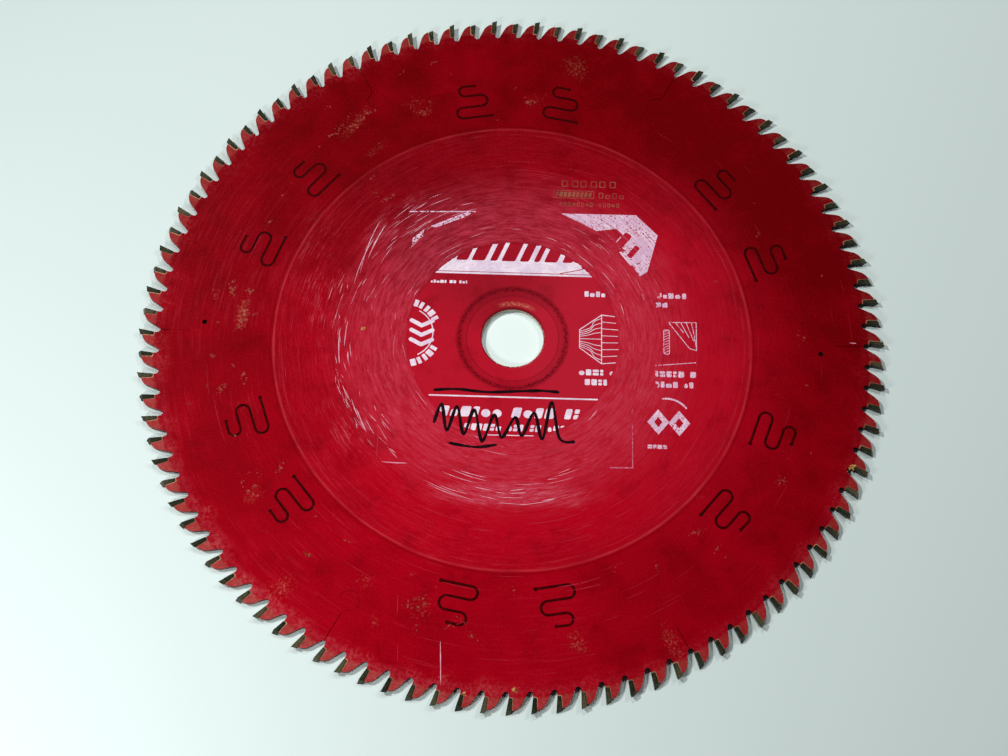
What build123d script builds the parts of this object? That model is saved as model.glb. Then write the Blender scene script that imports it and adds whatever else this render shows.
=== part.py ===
"""Circular saw blade, 305 mm, 100 carbide teeth, lying flat.

Frame: millimetres. The origin is the centre of the arbor bore, halfway through
the plate. +Z is the arbor axis and points out of the printed face; the cut runs
clockwise seen from +Z. +Y points midway between two of the paired vent slots.
A "tooth drawing" below is made at twelve o'clock: x runs clockwise along the
rim, y is the distance from the arbor axis, and x = 0 is the radius through the
front corner of the tooth.
"""

import os
from math import cos, radians, sin, sqrt, tan

from build123d import *

os.makedirs("parts", exist_ok=True)

# ---------------------------------------------------------------- dimensions
OUTER_D = 304.8  # over the carbide
BORE_D = 25.4
PLATE_T = 1.8
KERF = 2.5  # width of a carbide tip across its cutting edge
TEETH = 100
PITCH = 360 / TEETH
FIRST_TOOTH = 0.287  # degrees anticlockwise of +Y, front corner of tooth 0

# carbide tip, seen from the side
HOOK = 10.0  # the front face leans forward
TIP_HEIGHT = 6.2
TIP_BACK_TOP = 2.20  # back of the carbide behind the front corner, at its top
TIP_BACK_FOOT = 2.45  # and at its foot
TIP_HEEL = 0.40  # chamfer at the heel, where the seat is round
TOP_RELIEF = 15.0  # the top falls away behind the edge
TOP_BEVEL = 27.0  # and across it, to the left and right in turn
SIDE_RELIEF = 1.0  # the sides draw in towards the arbor
BACK_RELIEF = 2.5  # and towards the back of the tooth

BRAZE_T = 0.35  # filler metal between carbide and plate

# tooth back and gullet, in the tooth drawing
SHOULDER_TOP = (-2.55, 150.85)
SHOULDER_BREAK = (-3.60, 150.55)
BACK_START = (-5.90, 148.40)
BACK_SAG = 0.25  # bulge of the arc between those two
GULLET_C = (-0.05, 144.85)
GULLET_R = 1.10

# two small wavy vents a pair, six pairs, for noise
VENT_W = 1.05
VENT_END_D = 1.65  # hole at the inner end
VENT_TOP_D = 1.45  # and at the outer end
VENT_SPREAD = 10.0  # each side of the middle of a pair, degrees

# expansion cuts in the floor of six gullets
CUT_W = 0.24
CUT_TEETH = (8, 25, 42, 58, 75, 92)  # the tooth behind each cut
CUT_OPEN = (25, 75)  # these end in an open drilled hole
CUT_HOLE_D = 2.0
CUT_END_D = 0.6

# rolled tension ring, a shallow track on both faces
RING_R = 97.6
RING_W = 1.0
RING_DEPTH = 0.04

OUTER_R = OUTER_D / 2
BORE_R = BORE_D / 2
HALF_T = PLATE_T / 2


# ------------------------------------------------------------------- helpers
def turned(point, degrees):
    """A point of the drawing turned clockwise about the arbor axis."""
    a = radians(degrees)
    return (
        point[0] * cos(a) + point[1] * sin(a),
        point[1] * cos(a) - point[0] * sin(a),
    )


def bulge(start, end, sag):
    """The middle of an arc from start to end that bulges sag to the left."""
    dx, dy = end[0] - start[0], end[1] - start[1]
    span = sqrt(dx * dx + dy * dy)
    return (
        (start[0] + end[0]) / 2 - dy / span * sag,
        (start[1] + end[1]) / 2 + dx / span * sag,
    )


def tooth_angle(index):
    """Rotation about +Z that takes the drawing to this tooth."""
    return FIRST_TOOTH - PITCH * index


# ------------------------------------------- one tooth space, as a line chain
# It starts on the shoulder behind a tip, goes down the seat, along its floor,
# round the gullet and up the back of the next tooth, to that tooth's shoulder.
TIP_FOOT_Y = OUTER_R - TIP_HEIGHT
TIP_FOOT_X = -TIP_HEIGHT * tan(radians(HOOK))
SEAT_Y = TIP_FOOT_Y - BRAZE_T
SEAT_BACK_X = -(TIP_BACK_FOOT + BRAZE_T)
SEAT_CORNER = 0.65
GULLET_LEFT = (GULLET_C[0] - GULLET_R, GULLET_C[1])
SEAT_LIP = (GULLET_LEFT[0], SEAT_Y)

next_back = turned(BACK_START, PITCH)
next_break = turned(SHOULDER_BREAK, PITCH)
next_top = turned(SHOULDER_TOP, PITCH)

# the back of the next tooth leaves the gullet at a tangent
to_c = (next_back[0] - GULLET_C[0], next_back[1] - GULLET_C[1])
far = sqrt(to_c[0] ** 2 + to_c[1] ** 2)
along = GULLET_R**2 / far
across = GULLET_R * sqrt(1 - (GULLET_R / far) ** 2)
gullet_out = (
    GULLET_C[0] + to_c[0] / far * along + to_c[1] / far * across,
    GULLET_C[1] + to_c[1] / far * along - to_c[0] / far * across,
)
gullet_low = (GULLET_C[0] + 0.1, GULLET_C[1] - sqrt(GULLET_R**2 - 0.01))

with BuildLine() as tooth_space:
    Line(SHOULDER_TOP, (SEAT_BACK_X, SEAT_Y + SEAT_CORNER))
    ThreePointArc(
        (SEAT_BACK_X, SEAT_Y + SEAT_CORNER),
        (
            SEAT_BACK_X + SEAT_CORNER * (1 - sqrt(0.5)),
            SEAT_Y + SEAT_CORNER * (1 - sqrt(0.5)),
        ),
        (SEAT_BACK_X + SEAT_CORNER, SEAT_Y),
    )
    Line((SEAT_BACK_X + SEAT_CORNER, SEAT_Y), SEAT_LIP)
    Line(SEAT_LIP, GULLET_LEFT)
    ThreePointArc(GULLET_LEFT, gullet_low, gullet_out)
    Line(gullet_out, next_back)
    ThreePointArc(next_back, bulge(next_back, next_break, BACK_SAG), next_break)
    Line(next_break, next_top)

# ------------------------------------------------- wavy vent, at twelve o'clock
with BuildSketch() as vent:
    with BuildLine() as vent_path:
        Line((1.5, 120.1), (-2.9, 120.3))
        ThreePointArc((-2.9, 120.3), (-5.35, 117.85), (-2.9, 115.4))
        Line((-2.9, 115.4), (3.45, 115.4))
        ThreePointArc((3.45, 115.4), (6.2, 112.65), (3.45, 109.9))
        Line((3.45, 109.9), (-5.05, 109.9))
        ThreePointArc((-5.05, 109.9), (-7.7, 107.25), (-5.05, 104.6))
        Line((-5.05, 104.6), (7.1, 104.6))
    trace(line_width=VENT_W)
    with Locations((1.5, 120.1)):
        Circle(VENT_TOP_D / 2)
    with Locations((7.1, 104.6)):
        Circle(VENT_END_D / 2)

# ------------------------------------ expansion cut, from the floor of a gullet
CUT_X = 0.0
CUT_LOOP = (-4.1, 126.2)
CUT_END = (3.8, 126.0)
with BuildSketch() as cut:
    with BuildLine() as cut_path:
        cut_stem = Line((CUT_X, GULLET_C[1] - 0.6), (CUT_X, 132.3))
        cut_lean = TangentArc(cut_stem @ 1, (-2.05, 129.25), tangent=cut_stem % 1)
        TangentArc(cut_lean @ 1, CUT_LOOP, tangent=cut_lean % 1)
        ThreePointArc(CUT_LOOP, (-0.05, 122.05), CUT_END)
    trace(line_width=CUT_W)

# --------------------------------------------------------------------- plate
with BuildPart() as saw_plate:
    with BuildSketch(Plane.XY.offset(-HALF_T)) as outline:
        with BuildLine() as rim:
            with PolarLocations(0, TEETH, start_angle=FIRST_TOOTH):
                add(tooth_space.line)
        make_face()
        Circle(BORE_R, mode=Mode.SUBTRACT)
        with PolarLocations(0, 6, start_angle=VENT_SPREAD):
            add(vent.sketch, mode=Mode.SUBTRACT)
        with PolarLocations(0, 6, start_angle=-VENT_SPREAD):
            add(vent.sketch, mode=Mode.SUBTRACT)
        for tooth in CUT_TEETH:
            end_r = (CUT_HOLE_D if tooth in CUT_OPEN else CUT_END_D) / 2
            end = turned(CUT_END, -tooth_angle(tooth))
            add(cut.sketch, rotation=tooth_angle(tooth), mode=Mode.SUBTRACT)
            with Locations(end):
                Circle(end_r, mode=Mode.SUBTRACT)
    extrude(amount=PLATE_T)
    # the rolled track, a shallow vee on each face
    with BuildSketch(Plane.XZ) as track:
        with BuildLine():
            Polyline(
                (RING_R - RING_W / 2, HALF_T),
                (RING_R, HALF_T - RING_DEPTH),
                (RING_R + RING_W / 2, HALF_T),
                close=True,
            )
        make_face()
        mirror(about=Plane.XZ)
    revolve(axis=Axis.Z, mode=Mode.SUBTRACT)

saw_plate.part.label = "saw_plate"
export_step(saw_plate.part, "parts/saw_plate.step")

# ---------------------------------------------------------------- carbide tip
tip_top_back_y = OUTER_R - TIP_BACK_TOP * tan(radians(TOP_RELIEF))
tip_side = (
    (0, OUTER_R),
    (TIP_FOOT_X, TIP_FOOT_Y),
    (-(TIP_BACK_FOOT - TIP_HEEL), TIP_FOOT_Y),
    (-(TIP_BACK_FOOT - 0.02), TIP_FOOT_Y + TIP_HEEL),
    (-TIP_BACK_TOP, tip_top_back_y),
)


def carbide(high):
    """One tip at twelve o'clock; its top is ground to a corner on the high side (+1 or -1 along Z)."""
    # across the front corner on the high side, falling to the other side and to the back
    corner = Vector(0, OUTER_R, high * KERF / 2)
    down_back = Vector(-1, -tan(radians(TOP_RELIEF)), 0)
    down_side = Vector(0, -tan(radians(TOP_BEVEL)), -high)
    normal = down_back.cross(down_side)
    if normal.Y < 0:
        normal = normal * -1
    with BuildPart() as tip:
        with BuildSketch(Plane.XY.offset(-KERF / 2)):
            with BuildLine():
                Polyline(*tip_side, close=True)
            make_face()
        extrude(amount=KERF)
        split(bisect_by=Plane(origin=corner, z_dir=normal), keep=Keep.BOTTOM)
        for side in (1, -1):
            edge = Vector(0, OUTER_R, side * KERF / 2)
            lean = Vector(tan(radians(BACK_RELIEF)), tan(radians(SIDE_RELIEF)), -side)
            split(bisect_by=Plane(origin=edge, z_dir=lean * -1), keep=Keep.BOTTOM)
    return tip


with BuildPart() as tip_up:
    add(carbide(1).part)
with BuildPart() as tip_down:
    add(carbide(-1).part)



def tip_back_x(y):
    """Where the back of the carbide is, at this distance from the arbor axis."""
    (x0, y0), (x1, y1) = tip_side[3], tip_side[4]
    return x0 + (x1 - x0) * (y - y0) / (y1 - y0)


BRAZE_TOP_Y = SHOULDER_TOP[1] - 0.30

# --------------------------------------------- filler metal in one tooth's seat
with BuildPart() as braze:
    with BuildSketch(Plane.XY.offset(-HALF_T)):
        with BuildLine():
            Polyline(
                (SEAT_BACK_X + SEAT_CORNER, SEAT_Y),
                SEAT_LIP,
                (SEAT_LIP[0], TIP_FOOT_Y),
                tip_side[2],
                tip_side[3],
                (tip_back_x(BRAZE_TOP_Y), BRAZE_TOP_Y),
                (SHOULDER_TOP[0], SHOULDER_TOP[1] - 0.10),
                (SEAT_BACK_X, SEAT_Y + SEAT_CORNER),
            )
            ThreePointArc(
                (SEAT_BACK_X, SEAT_Y + SEAT_CORNER),
                (
                    SEAT_BACK_X + SEAT_CORNER * (1 - sqrt(0.5)),
                    SEAT_Y + SEAT_CORNER * (1 - sqrt(0.5)),
                ),
                (SEAT_BACK_X + SEAT_CORNER, SEAT_Y),
            )
        make_face()
    extrude(amount=PLATE_T)

# -------------------- tips and filler by rim segment, from cut to cut clockwise
starts = [t + 1 for t in CUT_TEETH]
ends = [t + 1 for t in CUT_TEETH[1:]] + [CUT_TEETH[0] + 1 + TEETH]
for segment, (first, last) in enumerate(zip(starts, ends), start=1):
    for hand, tip in (("right", tip_up), ("left", tip_down)):
        teeth = [t for t in range(first, last) if (t % 2 == 1) == (hand == "right")]
        with BuildPart() as tips:
            for tooth in teeth:
                add(tip.part, rotation=(0, 0, tooth_angle(tooth)))
        tips.part.label = f"carbide_tips_{segment}_{hand}"
        export_step(tips.part, f"parts/carbide_tips_{segment}_{hand}.step")
        with BuildPart() as fillers:
            for tooth in teeth:
                add(braze.part, rotation=(0, 0, tooth_angle(tooth)))
        fillers.part.label = f"braze_joints_{segment}_{hand}"
        export_step(fillers.part, f"parts/braze_joints_{segment}_{hand}.step")
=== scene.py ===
import math

import bpy
import numpy as np
from mathutils import Matrix, Vector
from mathutils.geometry import delaunay_2d_cdt


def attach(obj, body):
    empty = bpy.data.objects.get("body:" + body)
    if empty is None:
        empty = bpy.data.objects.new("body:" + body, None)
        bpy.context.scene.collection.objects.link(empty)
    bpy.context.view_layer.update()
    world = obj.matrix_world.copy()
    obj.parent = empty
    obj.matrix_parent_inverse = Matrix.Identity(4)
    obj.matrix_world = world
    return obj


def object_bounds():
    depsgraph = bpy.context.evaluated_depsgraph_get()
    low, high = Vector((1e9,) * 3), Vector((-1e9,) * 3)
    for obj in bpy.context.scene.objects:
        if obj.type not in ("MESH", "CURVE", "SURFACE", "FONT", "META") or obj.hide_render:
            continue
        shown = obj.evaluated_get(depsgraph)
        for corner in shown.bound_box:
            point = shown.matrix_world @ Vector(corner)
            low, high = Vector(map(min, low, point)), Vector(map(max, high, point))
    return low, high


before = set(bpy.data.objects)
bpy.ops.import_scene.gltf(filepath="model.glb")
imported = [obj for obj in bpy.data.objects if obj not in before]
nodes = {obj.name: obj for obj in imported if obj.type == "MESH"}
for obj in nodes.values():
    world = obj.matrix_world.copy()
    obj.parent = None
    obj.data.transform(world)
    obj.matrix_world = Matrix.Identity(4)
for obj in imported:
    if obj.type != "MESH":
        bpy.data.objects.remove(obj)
cad_lo, cad_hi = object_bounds()
MM = 0.001
TOP = 0.9  # height of the plate's printed face, mm
FLOOR = cad_lo.z  # the tips stand proud of the plate, so they touch the floor

# ------------------------------------------------------------------ camera
cam_data = bpy.data.cameras.new("camera")
cam_data.sensor_fit = "HORIZONTAL"
cam_data.sensor_width = 36.0
cam_data.lens = 55.12
cam_data.clip_start, cam_data.clip_end = 0.01, 20
camera = bpy.data.objects.new("camera", cam_data)
bpy.context.scene.collection.objects.link(camera)
right = Vector((0.999546, 0.024528, 0.017503))
up = Vector((-0.029196, 0.932013, 0.361247))
back = right.cross(up).normalized()
up = back.cross(right).normalized()
right.normalize()
m = Matrix((right, up, back)).transposed().to_4x4()
m.translation = Vector((-7.738, -243.377, 582.941)) * MM
camera.matrix_world = m
bpy.context.scene.camera = camera
bpy.context.scene.view_settings.view_transform = "Standard"
bpy.context.scene.view_settings.look = "None"


# ------------------------------------------------- node graphs as arithmetic
def linear(r, g, b):
    """sRGB 0-255 to linear RGBA."""
    c = [v / 255 for v in (r, g, b)]
    return tuple(v / 12.92 if v <= 0.04045 else ((v + 0.055) / 1.055) ** 2.4 for v in c) + (1.0,)


class S:
    """A socket that can be added, multiplied and so on."""

    def __init__(self, g, sock):
        self.g, self.sock = g, sock

    def __add__(self, o): return self.g.m("ADD", self, o)
    def __radd__(self, o): return self.g.m("ADD", o, self)
    def __sub__(self, o): return self.g.m("SUBTRACT", self, o)
    def __rsub__(self, o): return self.g.m("SUBTRACT", o, self)
    def __mul__(self, o): return self.g.m("MULTIPLY", self, o)
    def __rmul__(self, o): return self.g.m("MULTIPLY", o, self)
    def __truediv__(self, o): return self.g.m("DIVIDE", self, o)
    def __rtruediv__(self, o): return self.g.m("DIVIDE", o, self)
    def __pow__(self, o): return self.g.m("POWER", self, o)
    def abs(self): return self.g.m("ABSOLUTE", self)
    def floor(self): return self.g.m("FLOOR", self)
    def sat(self): return self.g.m("ADD", self, 0.0, clamp=True)


class G:
    def __init__(self, tree):
        self.t = tree

    def node(self, kind, **kw):
        n = self.t.nodes.new(kind)
        for k, v in kw.items():
            setattr(n, k, v)
        return n

    def put(self, socket, v):
        if isinstance(v, S):
            self.t.links.new(v.sock, socket)
        elif v is not None:
            socket.default_value = v

    def m(self, op, a, b=None, c=None, clamp=False):
        n = self.node("ShaderNodeMath", operation=op, use_clamp=clamp)
        for i, v in enumerate((a, b, c)):
            self.put(n.inputs[i], v)
        return S(self, n.outputs[0])

    def mx(self, a, b): return self.m("MAXIMUM", a, b)
    def mn(self, a, b): return self.m("MINIMUM", a, b)

    def vec(self, x, y, z):
        n = self.node("ShaderNodeCombineXYZ")
        for i, v in enumerate((x, y, z)):
            self.put(n.inputs[i], v)
        return S(self, n.outputs[0])

    def sep(self, v):
        n = self.node("ShaderNodeSeparateXYZ")
        self.put(n.inputs[0], v)
        return [S(self, o) for o in n.outputs]

    def vscale(self, v, k):
        n = self.node("ShaderNodeVectorMath", operation="SCALE")
        self.put(n.inputs[0], v)
        self.put(n.inputs["Scale"], k)
        return S(self, n.outputs[0])

    def length(self, v):
        n = self.node("ShaderNodeVectorMath", operation="LENGTH")
        self.put(n.inputs[0], v)
        return S(self, n.outputs["Value"])

    def step(self, v, lo, hi, a=0.0, b=1.0):
        """Smooth step of v from lo to hi; lo may be over hi."""
        if lo > hi:
            lo, hi, a, b = hi, lo, b, a
        n = self.node("ShaderNodeMapRange", interpolation_type="SMOOTHSTEP")
        for i, x in enumerate((v, lo, hi, a, b)):
            self.put(n.inputs[i], x)
        return S(self, n.outputs[0])

    def line(self, v, at, half):
        """1 at v = at, falling smoothly to 0 at half either side."""
        return self.step((v - at).abs(), half, 0.0)

    def noise(self, v, scale=1.0, detail=2.0, rough=0.5, dist=0.0):
        n = self.node("ShaderNodeTexNoise", noise_dimensions="3D")
        self.put(n.inputs["Vector"], v)
        n.inputs["Scale"].default_value = scale
        n.inputs["Detail"].default_value = detail
        n.inputs["Roughness"].default_value = rough
        n.inputs["Distortion"].default_value = dist
        return S(self, n.outputs[0])

    def hash(self, v):
        n = self.node("ShaderNodeTexWhiteNoise", noise_dimensions="1D")
        self.put(n.inputs["W"], v)
        return S(self, n.outputs["Value"])

    def mix(self, fac, a, b):
        n = self.node("ShaderNodeMix", data_type="RGBA", clamp_factor=True)
        self.put(n.inputs[0], fac)
        self.put(n.inputs[6], a)
        self.put(n.inputs[7], b)
        return S(self, n.outputs[2])

    def blob(self, p, x, y, rx, ry, turn=0.0, soft=0.6):
        """1 inside an ellipse of the top view, falling to 0 at its rim."""
        n = self.node("ShaderNodeMapping", vector_type="TEXTURE")
        self.put(n.inputs["Vector"], p)
        n.inputs["Location"].default_value = (x, y, 0)
        n.inputs["Rotation"].default_value = (0, 0, math.radians(turn))
        n.inputs["Scale"].default_value = (rx, ry, 1e6)
        return self.step(self.length(S(self, n.outputs[0])), 1.0, 1.0 - soft)

    def bump(self, height, distance_mm, strength=1.0):
        n = self.node("ShaderNodeBump")
        n.inputs["Strength"].default_value = strength
        n.inputs["Distance"].default_value = distance_mm * MM
        self.put(n.inputs["Height"], height)
        return S(self, n.outputs[0])


def fields(g):
    """Place in mm, distance from the axis, direction, and a seamless ring space."""
    tc = g.node("ShaderNodeTexCoord")
    p = g.vscale(S(g, tc.outputs["Object"]), 1000.0)
    x, y, z = g.sep(p)
    r = g.m("SQRT", x * x + y * y + 1e-6)
    u, v = x / r, y / r

    def ring(around, across, shift=0.0):
        return g.vec(u * around + shift, v * around, r * across + z * 3.0)

    return p, x, y, z, r, u, v, ring


def material(name):
    mat = bpy.data.materials.new(name)
    mat.use_nodes = True
    mat.node_tree.nodes.clear()
    g = G(mat.node_tree)
    bsdf = g.node("ShaderNodeBsdfPrincipled")
    out = g.node("ShaderNodeOutputMaterial")
    g.t.links.new(bsdf.outputs[0], out.inputs["Surface"])
    return mat, g, bsdf


# where the coating is stained: x, y, half length, half width, turn, strength
STAINS = [
    (25, 129, 10, 13, 30, 0.7), (6, 112, 9, 7, 20, 0.55), (-44, 108, 12, 10, 0, 0.5),
    (-70, 98, 17, 6, 52, 0.8), (-60, 64, 9, 3.5, 25, 0.5), (-60, 86, 12, 4, 45, 0.6),
    (-111, 7, 5, 13, -8, 0.9), (-122, 16, 4, 10, -20, 0.5), (-100, -70, 9, 6, 30, 0.6),
    (-33, -112, 11, 11, 10, 0.5), (-54, -103, 9, 6, 20, 0.5), (-50, -118, 3, 8, 8, 0.5),
    (27, -124, 8, 13, 25, 0.5), (64, -124, 7, 14, 28, 0.65), (112, -49, 8, 12, 10, 0.3),
    (0, -104, 8, 7, 0, 0.35), (-88, -108, 17, 9, 40, 0.6), (-92, -120, 11, 7, 40, 0.7),
    (74, -66, 12, 5, 40, 0.35), (-108, -32, 7, 8, 0, 0.35), (118, 4, 6, 16, 0, 0.3),
]


def coating_group():
    """The red coating with its wear, and with painted light, sheen, glints and shade, as a group that the printed parts
    share.
    """
    t = bpy.data.node_groups.new("red_coating", "ShaderNodeTree")
    for name, kind in (("Color", "NodeSocketColor"), ("Roughness", "NodeSocketFloat"),
                       ("Height", "NodeSocketFloat"), ("Scratch", "NodeSocketFloat")):
        t.interface.new_socket(name, in_out="OUTPUT", socket_type=kind)
    g = G(t)
    p, x, y, z, r, u, v, ring = fields(g)
    geo = g.node("ShaderNodeNewGeometry")
    nz = g.sep(S(g, geo.outputs["True Normal"]))[2].abs()
    wall = g.step(nz, 0.75, 0.45)
    front = g.step(z, 0.0, 0.2)

    big = g.noise(g.vscale(p, 0.016), 1.0, 2.0, 0.5, 0.6)
    med = g.noise(g.vscale(p, 0.075), 1.0, 4.0, 0.6, 0.4)
    grain = g.noise(g.vscale(p, 1.1), 1.0, 3.0, 0.7)
    streak = g.noise(ring(7.0, 0.9), 1.0, 5.0, 0.66)
    fine = g.noise(ring(24.0, 2.6, 7.0), 1.0, 4.0, 0.68)
    hair = g.noise(ring(9.0, 6.5, 3.0), 1.0, 2.0, 0.55)

    # colour of the sound coating, with painted light: lighter towards the bottom and the left, inside the ring lighter
    # towards the right and lower right and darker at its upper left, outside it darker at the far left and right, and
    # the disc lighter at the left; the streaks show more towards the lower left, where sheen is painted
    inner = g.step(r, 99.0, 96.5)
    disc = g.step(r, 43.6, 42.4)
    near = g.step(v, 0.7, -1.0)
    lit = g.step(u - v * 0.8, -0.7, 0.9)
    middle = g.step(r, 100.0, 60.0)
    inward = g.step(r, 124.0, 78.0)
    sheen_side = 0.45 + g.step(u + v * 0.7, 0.1, -1.0) * 0.75
    tone_and_painted_light = 0.10 + near * 0.46 + g.step(u, 0.5, -0.8) * 0.12 + inner * (0.04 + lit * 0.04) + inward * (0.09 + lit * 0.14) + middle * (0.08 + lit * 0.24) + disc * 0.16
    tone_and_painted_light = tone_and_painted_light + inward * (g.step(v, 0.0, 0.6) * (g.step(u, -0.6, 0.6) - 0.5) * 0.36 + g.step(u, 0.45, 1.0) * 0.20 + g.step(u, -0.75, -1.0) * 0.10)
    tone_and_painted_light = tone_and_painted_light - (1.0 - inward) * g.step(u.abs(), 0.3, 0.9) * 0.11
    tone_and_painted_light = tone_and_painted_light + (big - 0.5) * 0.6 + (med - 0.5) * 0.6 + (streak - 0.5) * (0.18 + 0.16 * inner + 0.16 * middle) * sheen_side + (grain - 0.5) * (0.32 + 0.18 * sheen_side)
    tone_and_painted_light = (tone_and_painted_light + (fine - 0.5) * (0.20 + 0.12 * inner) * sheen_side + disc * g.step(u, 0.2, -0.8) * 0.14).sat()
    colour = g.mix(tone_and_painted_light, linear(104, 0, 5), linear(178, 0, 25))

    # pale haze: rubbed coating inside the ring, most of all near the flange, plus painted sheen towards the right
    # inside the ring and on the disc, and towards the lower left outside the ring
    band = g.step(r, 42.4, 44.5) * g.step(r, 82.0, 52.0)
    patchy = g.step(streak, 0.36, 0.66)
    rub_haze_and_sheen = inner * (0.01 + 0.03 * patchy) + inward * 0.04 * g.step(u, 0.35, 0.9) + band * (0.14 + 0.28 * patchy)
    rub_haze_and_sheen = rub_haze_and_sheen + (1.0 - inner) * 0.10 * (sheen_side - 0.5).sat() * g.step(streak + (big - 0.5) * 0.5, 0.50, 0.72)
    rub_haze_and_sheen = (rub_haze_and_sheen + (fine - 0.5) * (0.04 + 0.05 * inner + 0.26 * band) + (grain - 0.5) * (0.10 + 0.12 * band)) * (1.0 - disc) + disc * (0.12 + g.step(u, -0.1, 0.8) * 0.08 + (grain - 0.5) * 0.10)
    colour = g.mix(rub_haze_and_sheen.sat(), colour, linear(212, 72, 96))
    dark = g.step(med + (fine - 0.5) * 0.4, 0.46, 0.30) * 0.22
    colour = g.mix(dark, colour, linear(112, 0, 8))

    # fine circular scratches, whitish, in the rubbed places, and painted glints: whitish flecks in the patches where
    # light catches the scratches
    where = (band * 0.8 + inner * 0.22 * (sheen_side - 0.3).sat() + 0.01) * (1.0 - disc)
    where = where * g.step(med, 0.34, 0.62)
    scratch_and_glint = g.step(hair + (fine - 0.5) * 0.35, 0.63, 0.76) * where
    glint = g.blob(p, -78, 22, 16, 42, 12, 0.8) + g.blob(p, -62, -42, 12, 24, 38, 0.8)
    glint = glint + g.blob(p, 2, -66, 46, 9, 0, 0.7) + g.blob(p, -48, 54, 26, 10, 44, 0.7)
    glint = glint + g.blob(p, 56, 22, 10, 22, -20, 0.8) * 0.5
    glint_flecks = g.step(hair + (med - 0.5) * 0.5, 0.60, 0.72) * glint.sat()
    scratch_and_glint = (scratch_and_glint * 0.5 + glint_flecks * 0.32).sat() * front
    colour = g.mix(scratch_and_glint, colour, linear(228, 150, 172))
    chafed = g.blob(p, 1, -66.5, 40, 6.5, 0, 0.6) * g.step(hair + (fine - 0.5) * 0.6, 0.42, 0.62) * 0.48
    colour = g.mix(chafed * front, colour, linear(214, 100, 124))

    # the rolled ring: a pink line on the crest, partly rubbed coating and partly painted highlight, stronger towards
    # the bottom, with a darker line outside it as painted shade
    crest_rub_and_highlight = g.line(r, 97.4, 0.8) * (0.14 + 0.26 * patchy) * (0.6 + g.step(v, 0.8, -0.2) * 0.4)
    colour = g.mix(crest_rub_and_highlight, colour, linear(206, 72, 80))
    foot = g.line(r, 98.7, 0.9) * 0.30
    colour = g.mix(foot, colour, linear(95, 0, 6))
    soft_ring = g.line(r, 94.8, 0.4) * 0.09 * patchy
    colour = g.mix(soft_ring, colour, linear(214, 96, 104))

    # marks of the saw's flange round the bore
    blot = g.noise(g.vscale(p, 0.85), 1.0, 3.0, 0.7)
    flange = g.line(r + (blot - 0.5) * 1.8, 21.9, 2.0) * (0.36 + g.step(grain + (blot - 0.5) * 0.5, 0.40, 0.60) * 0.50)
    flange = g.mx(flange, g.line(r, 18.9, 0.5) * 0.45)
    flange = g.mx(flange, g.line(r, 20.2, 2.0) * 0.20)
    colour = g.mix(flange * front, colour, linear(72, 2, 10))
    # a light tan arc about 15 mm out from the axis, on the upper side only
    bore_top_tan_arc = g.line(r + (blot - 0.5) * 1.2, 15.3, 1.5) * g.step(v + u * 0.1, 0.84, 0.97) * g.step(grain, 0.36, 0.58)
    colour = g.mix(bore_top_tan_arc * 0.75 * front, colour, linear(200, 112, 92))
    # a darker band just outside the bore on its upper side: painted shade
    bore_top_shade = g.line(r, 13.2, 1.2) * g.step(v + (blot - 0.5), 0.0, 0.7) * 0.5
    colour = g.mix(bore_top_shade * front, colour, linear(64, 14, 14))

    # wood resin: brown stains in patches
    stain = None
    for sx, sy, rx, ry, turn, k in STAINS:
        b = g.blob(p, sx, sy, rx, ry, turn, 0.9) * k
        stain = b if stain is None else g.mx(stain, b)
    crust = g.noise(g.vscale(p, 0.75), 1.0, 5.0, 0.72)
    stained = g.step(stain * 0.62 + (crust - 0.5) * 1.5, 0.26, 0.62) * g.step(stain, 0.02, 0.2)
    colour = g.mix(stained * front * (0.12 + g.step(grain + (crust - 0.5) * 0.4, 0.49, 0.58) * 0.58), colour, g.mix(g.step(v, 0.2, 0.9), linear(174, 72, 60), linear(136, 48, 36)))
    colour = g.mix(stained * front * g.step(grain, 0.46, 0.38) * 0.45, colour, linear(96, 2, 8))
    crumbs = g.step(stain * 0.35 + (blot - 0.5) * 1.5, 0.34, 0.46) * g.step(stain, 0.1, 0.4)
    colour = g.mix(crumbs * front * 0.45, colour, linear(192, 108, 90))

    # teeth: where this point lies within its tooth, and a number for each tooth
    pitch = math.radians(3.6)
    a = g.m("ARCTAN2", x, y)
    first = -math.radians(0.287)
    turn = (a - first) / pitch
    tooth = g.m("ADD", turn, 0.5).floor()
    chance = g.hash(tooth)
    left = g.step(u, 0.25, -0.6)
    low = g.step(v, 0.2, -0.7)
    body = g.step(r + (crust - 0.5) * 1.6, 145.2, 146.8)
    rust = body * (0.14 + 0.38 * left + 0.16 * (chance - 0.3) + 0.24 * low) * g.step(nz, 0.5, 0.9)
    rust = rust + (grain + blot - 1.0) * body * 0.7
    colour = g.mix(rust.sat(), colour, linear(158, 62, 58))
    gum = g.step(r + (med - 0.5) * 26.0, 139.0, 150.0) * g.step(crust + chance * 0.10, 0.50, 0.66)
    gum = gum * (0.05 + 0.42 * low * (0.3 + g.step(u, 0.5, -0.2) * 0.7) + 0.22 * left)
    colour = g.mix(gum * front, colour, linear(176, 78, 80))
    rose = g.line(r + (crust - 0.5) * 4.0, 143.6, 2.4) * (0.02 + 0.14 * low * (0.2 + g.step(u, 0.5, -0.2) * 0.8)) * g.step(nz, 0.5, 0.9) * g.step(grain, 0.3, 0.6)
    colour = g.mix(rose, colour, linear(190, 62, 84))
    black = g.step(blot + (chance - 0.5) * 0.1, 0.60, 0.68) * body * 0.4
    colour = g.mix(black * g.step(nz, 0.5, 0.9), colour, linear(70, 22, 22))

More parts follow.
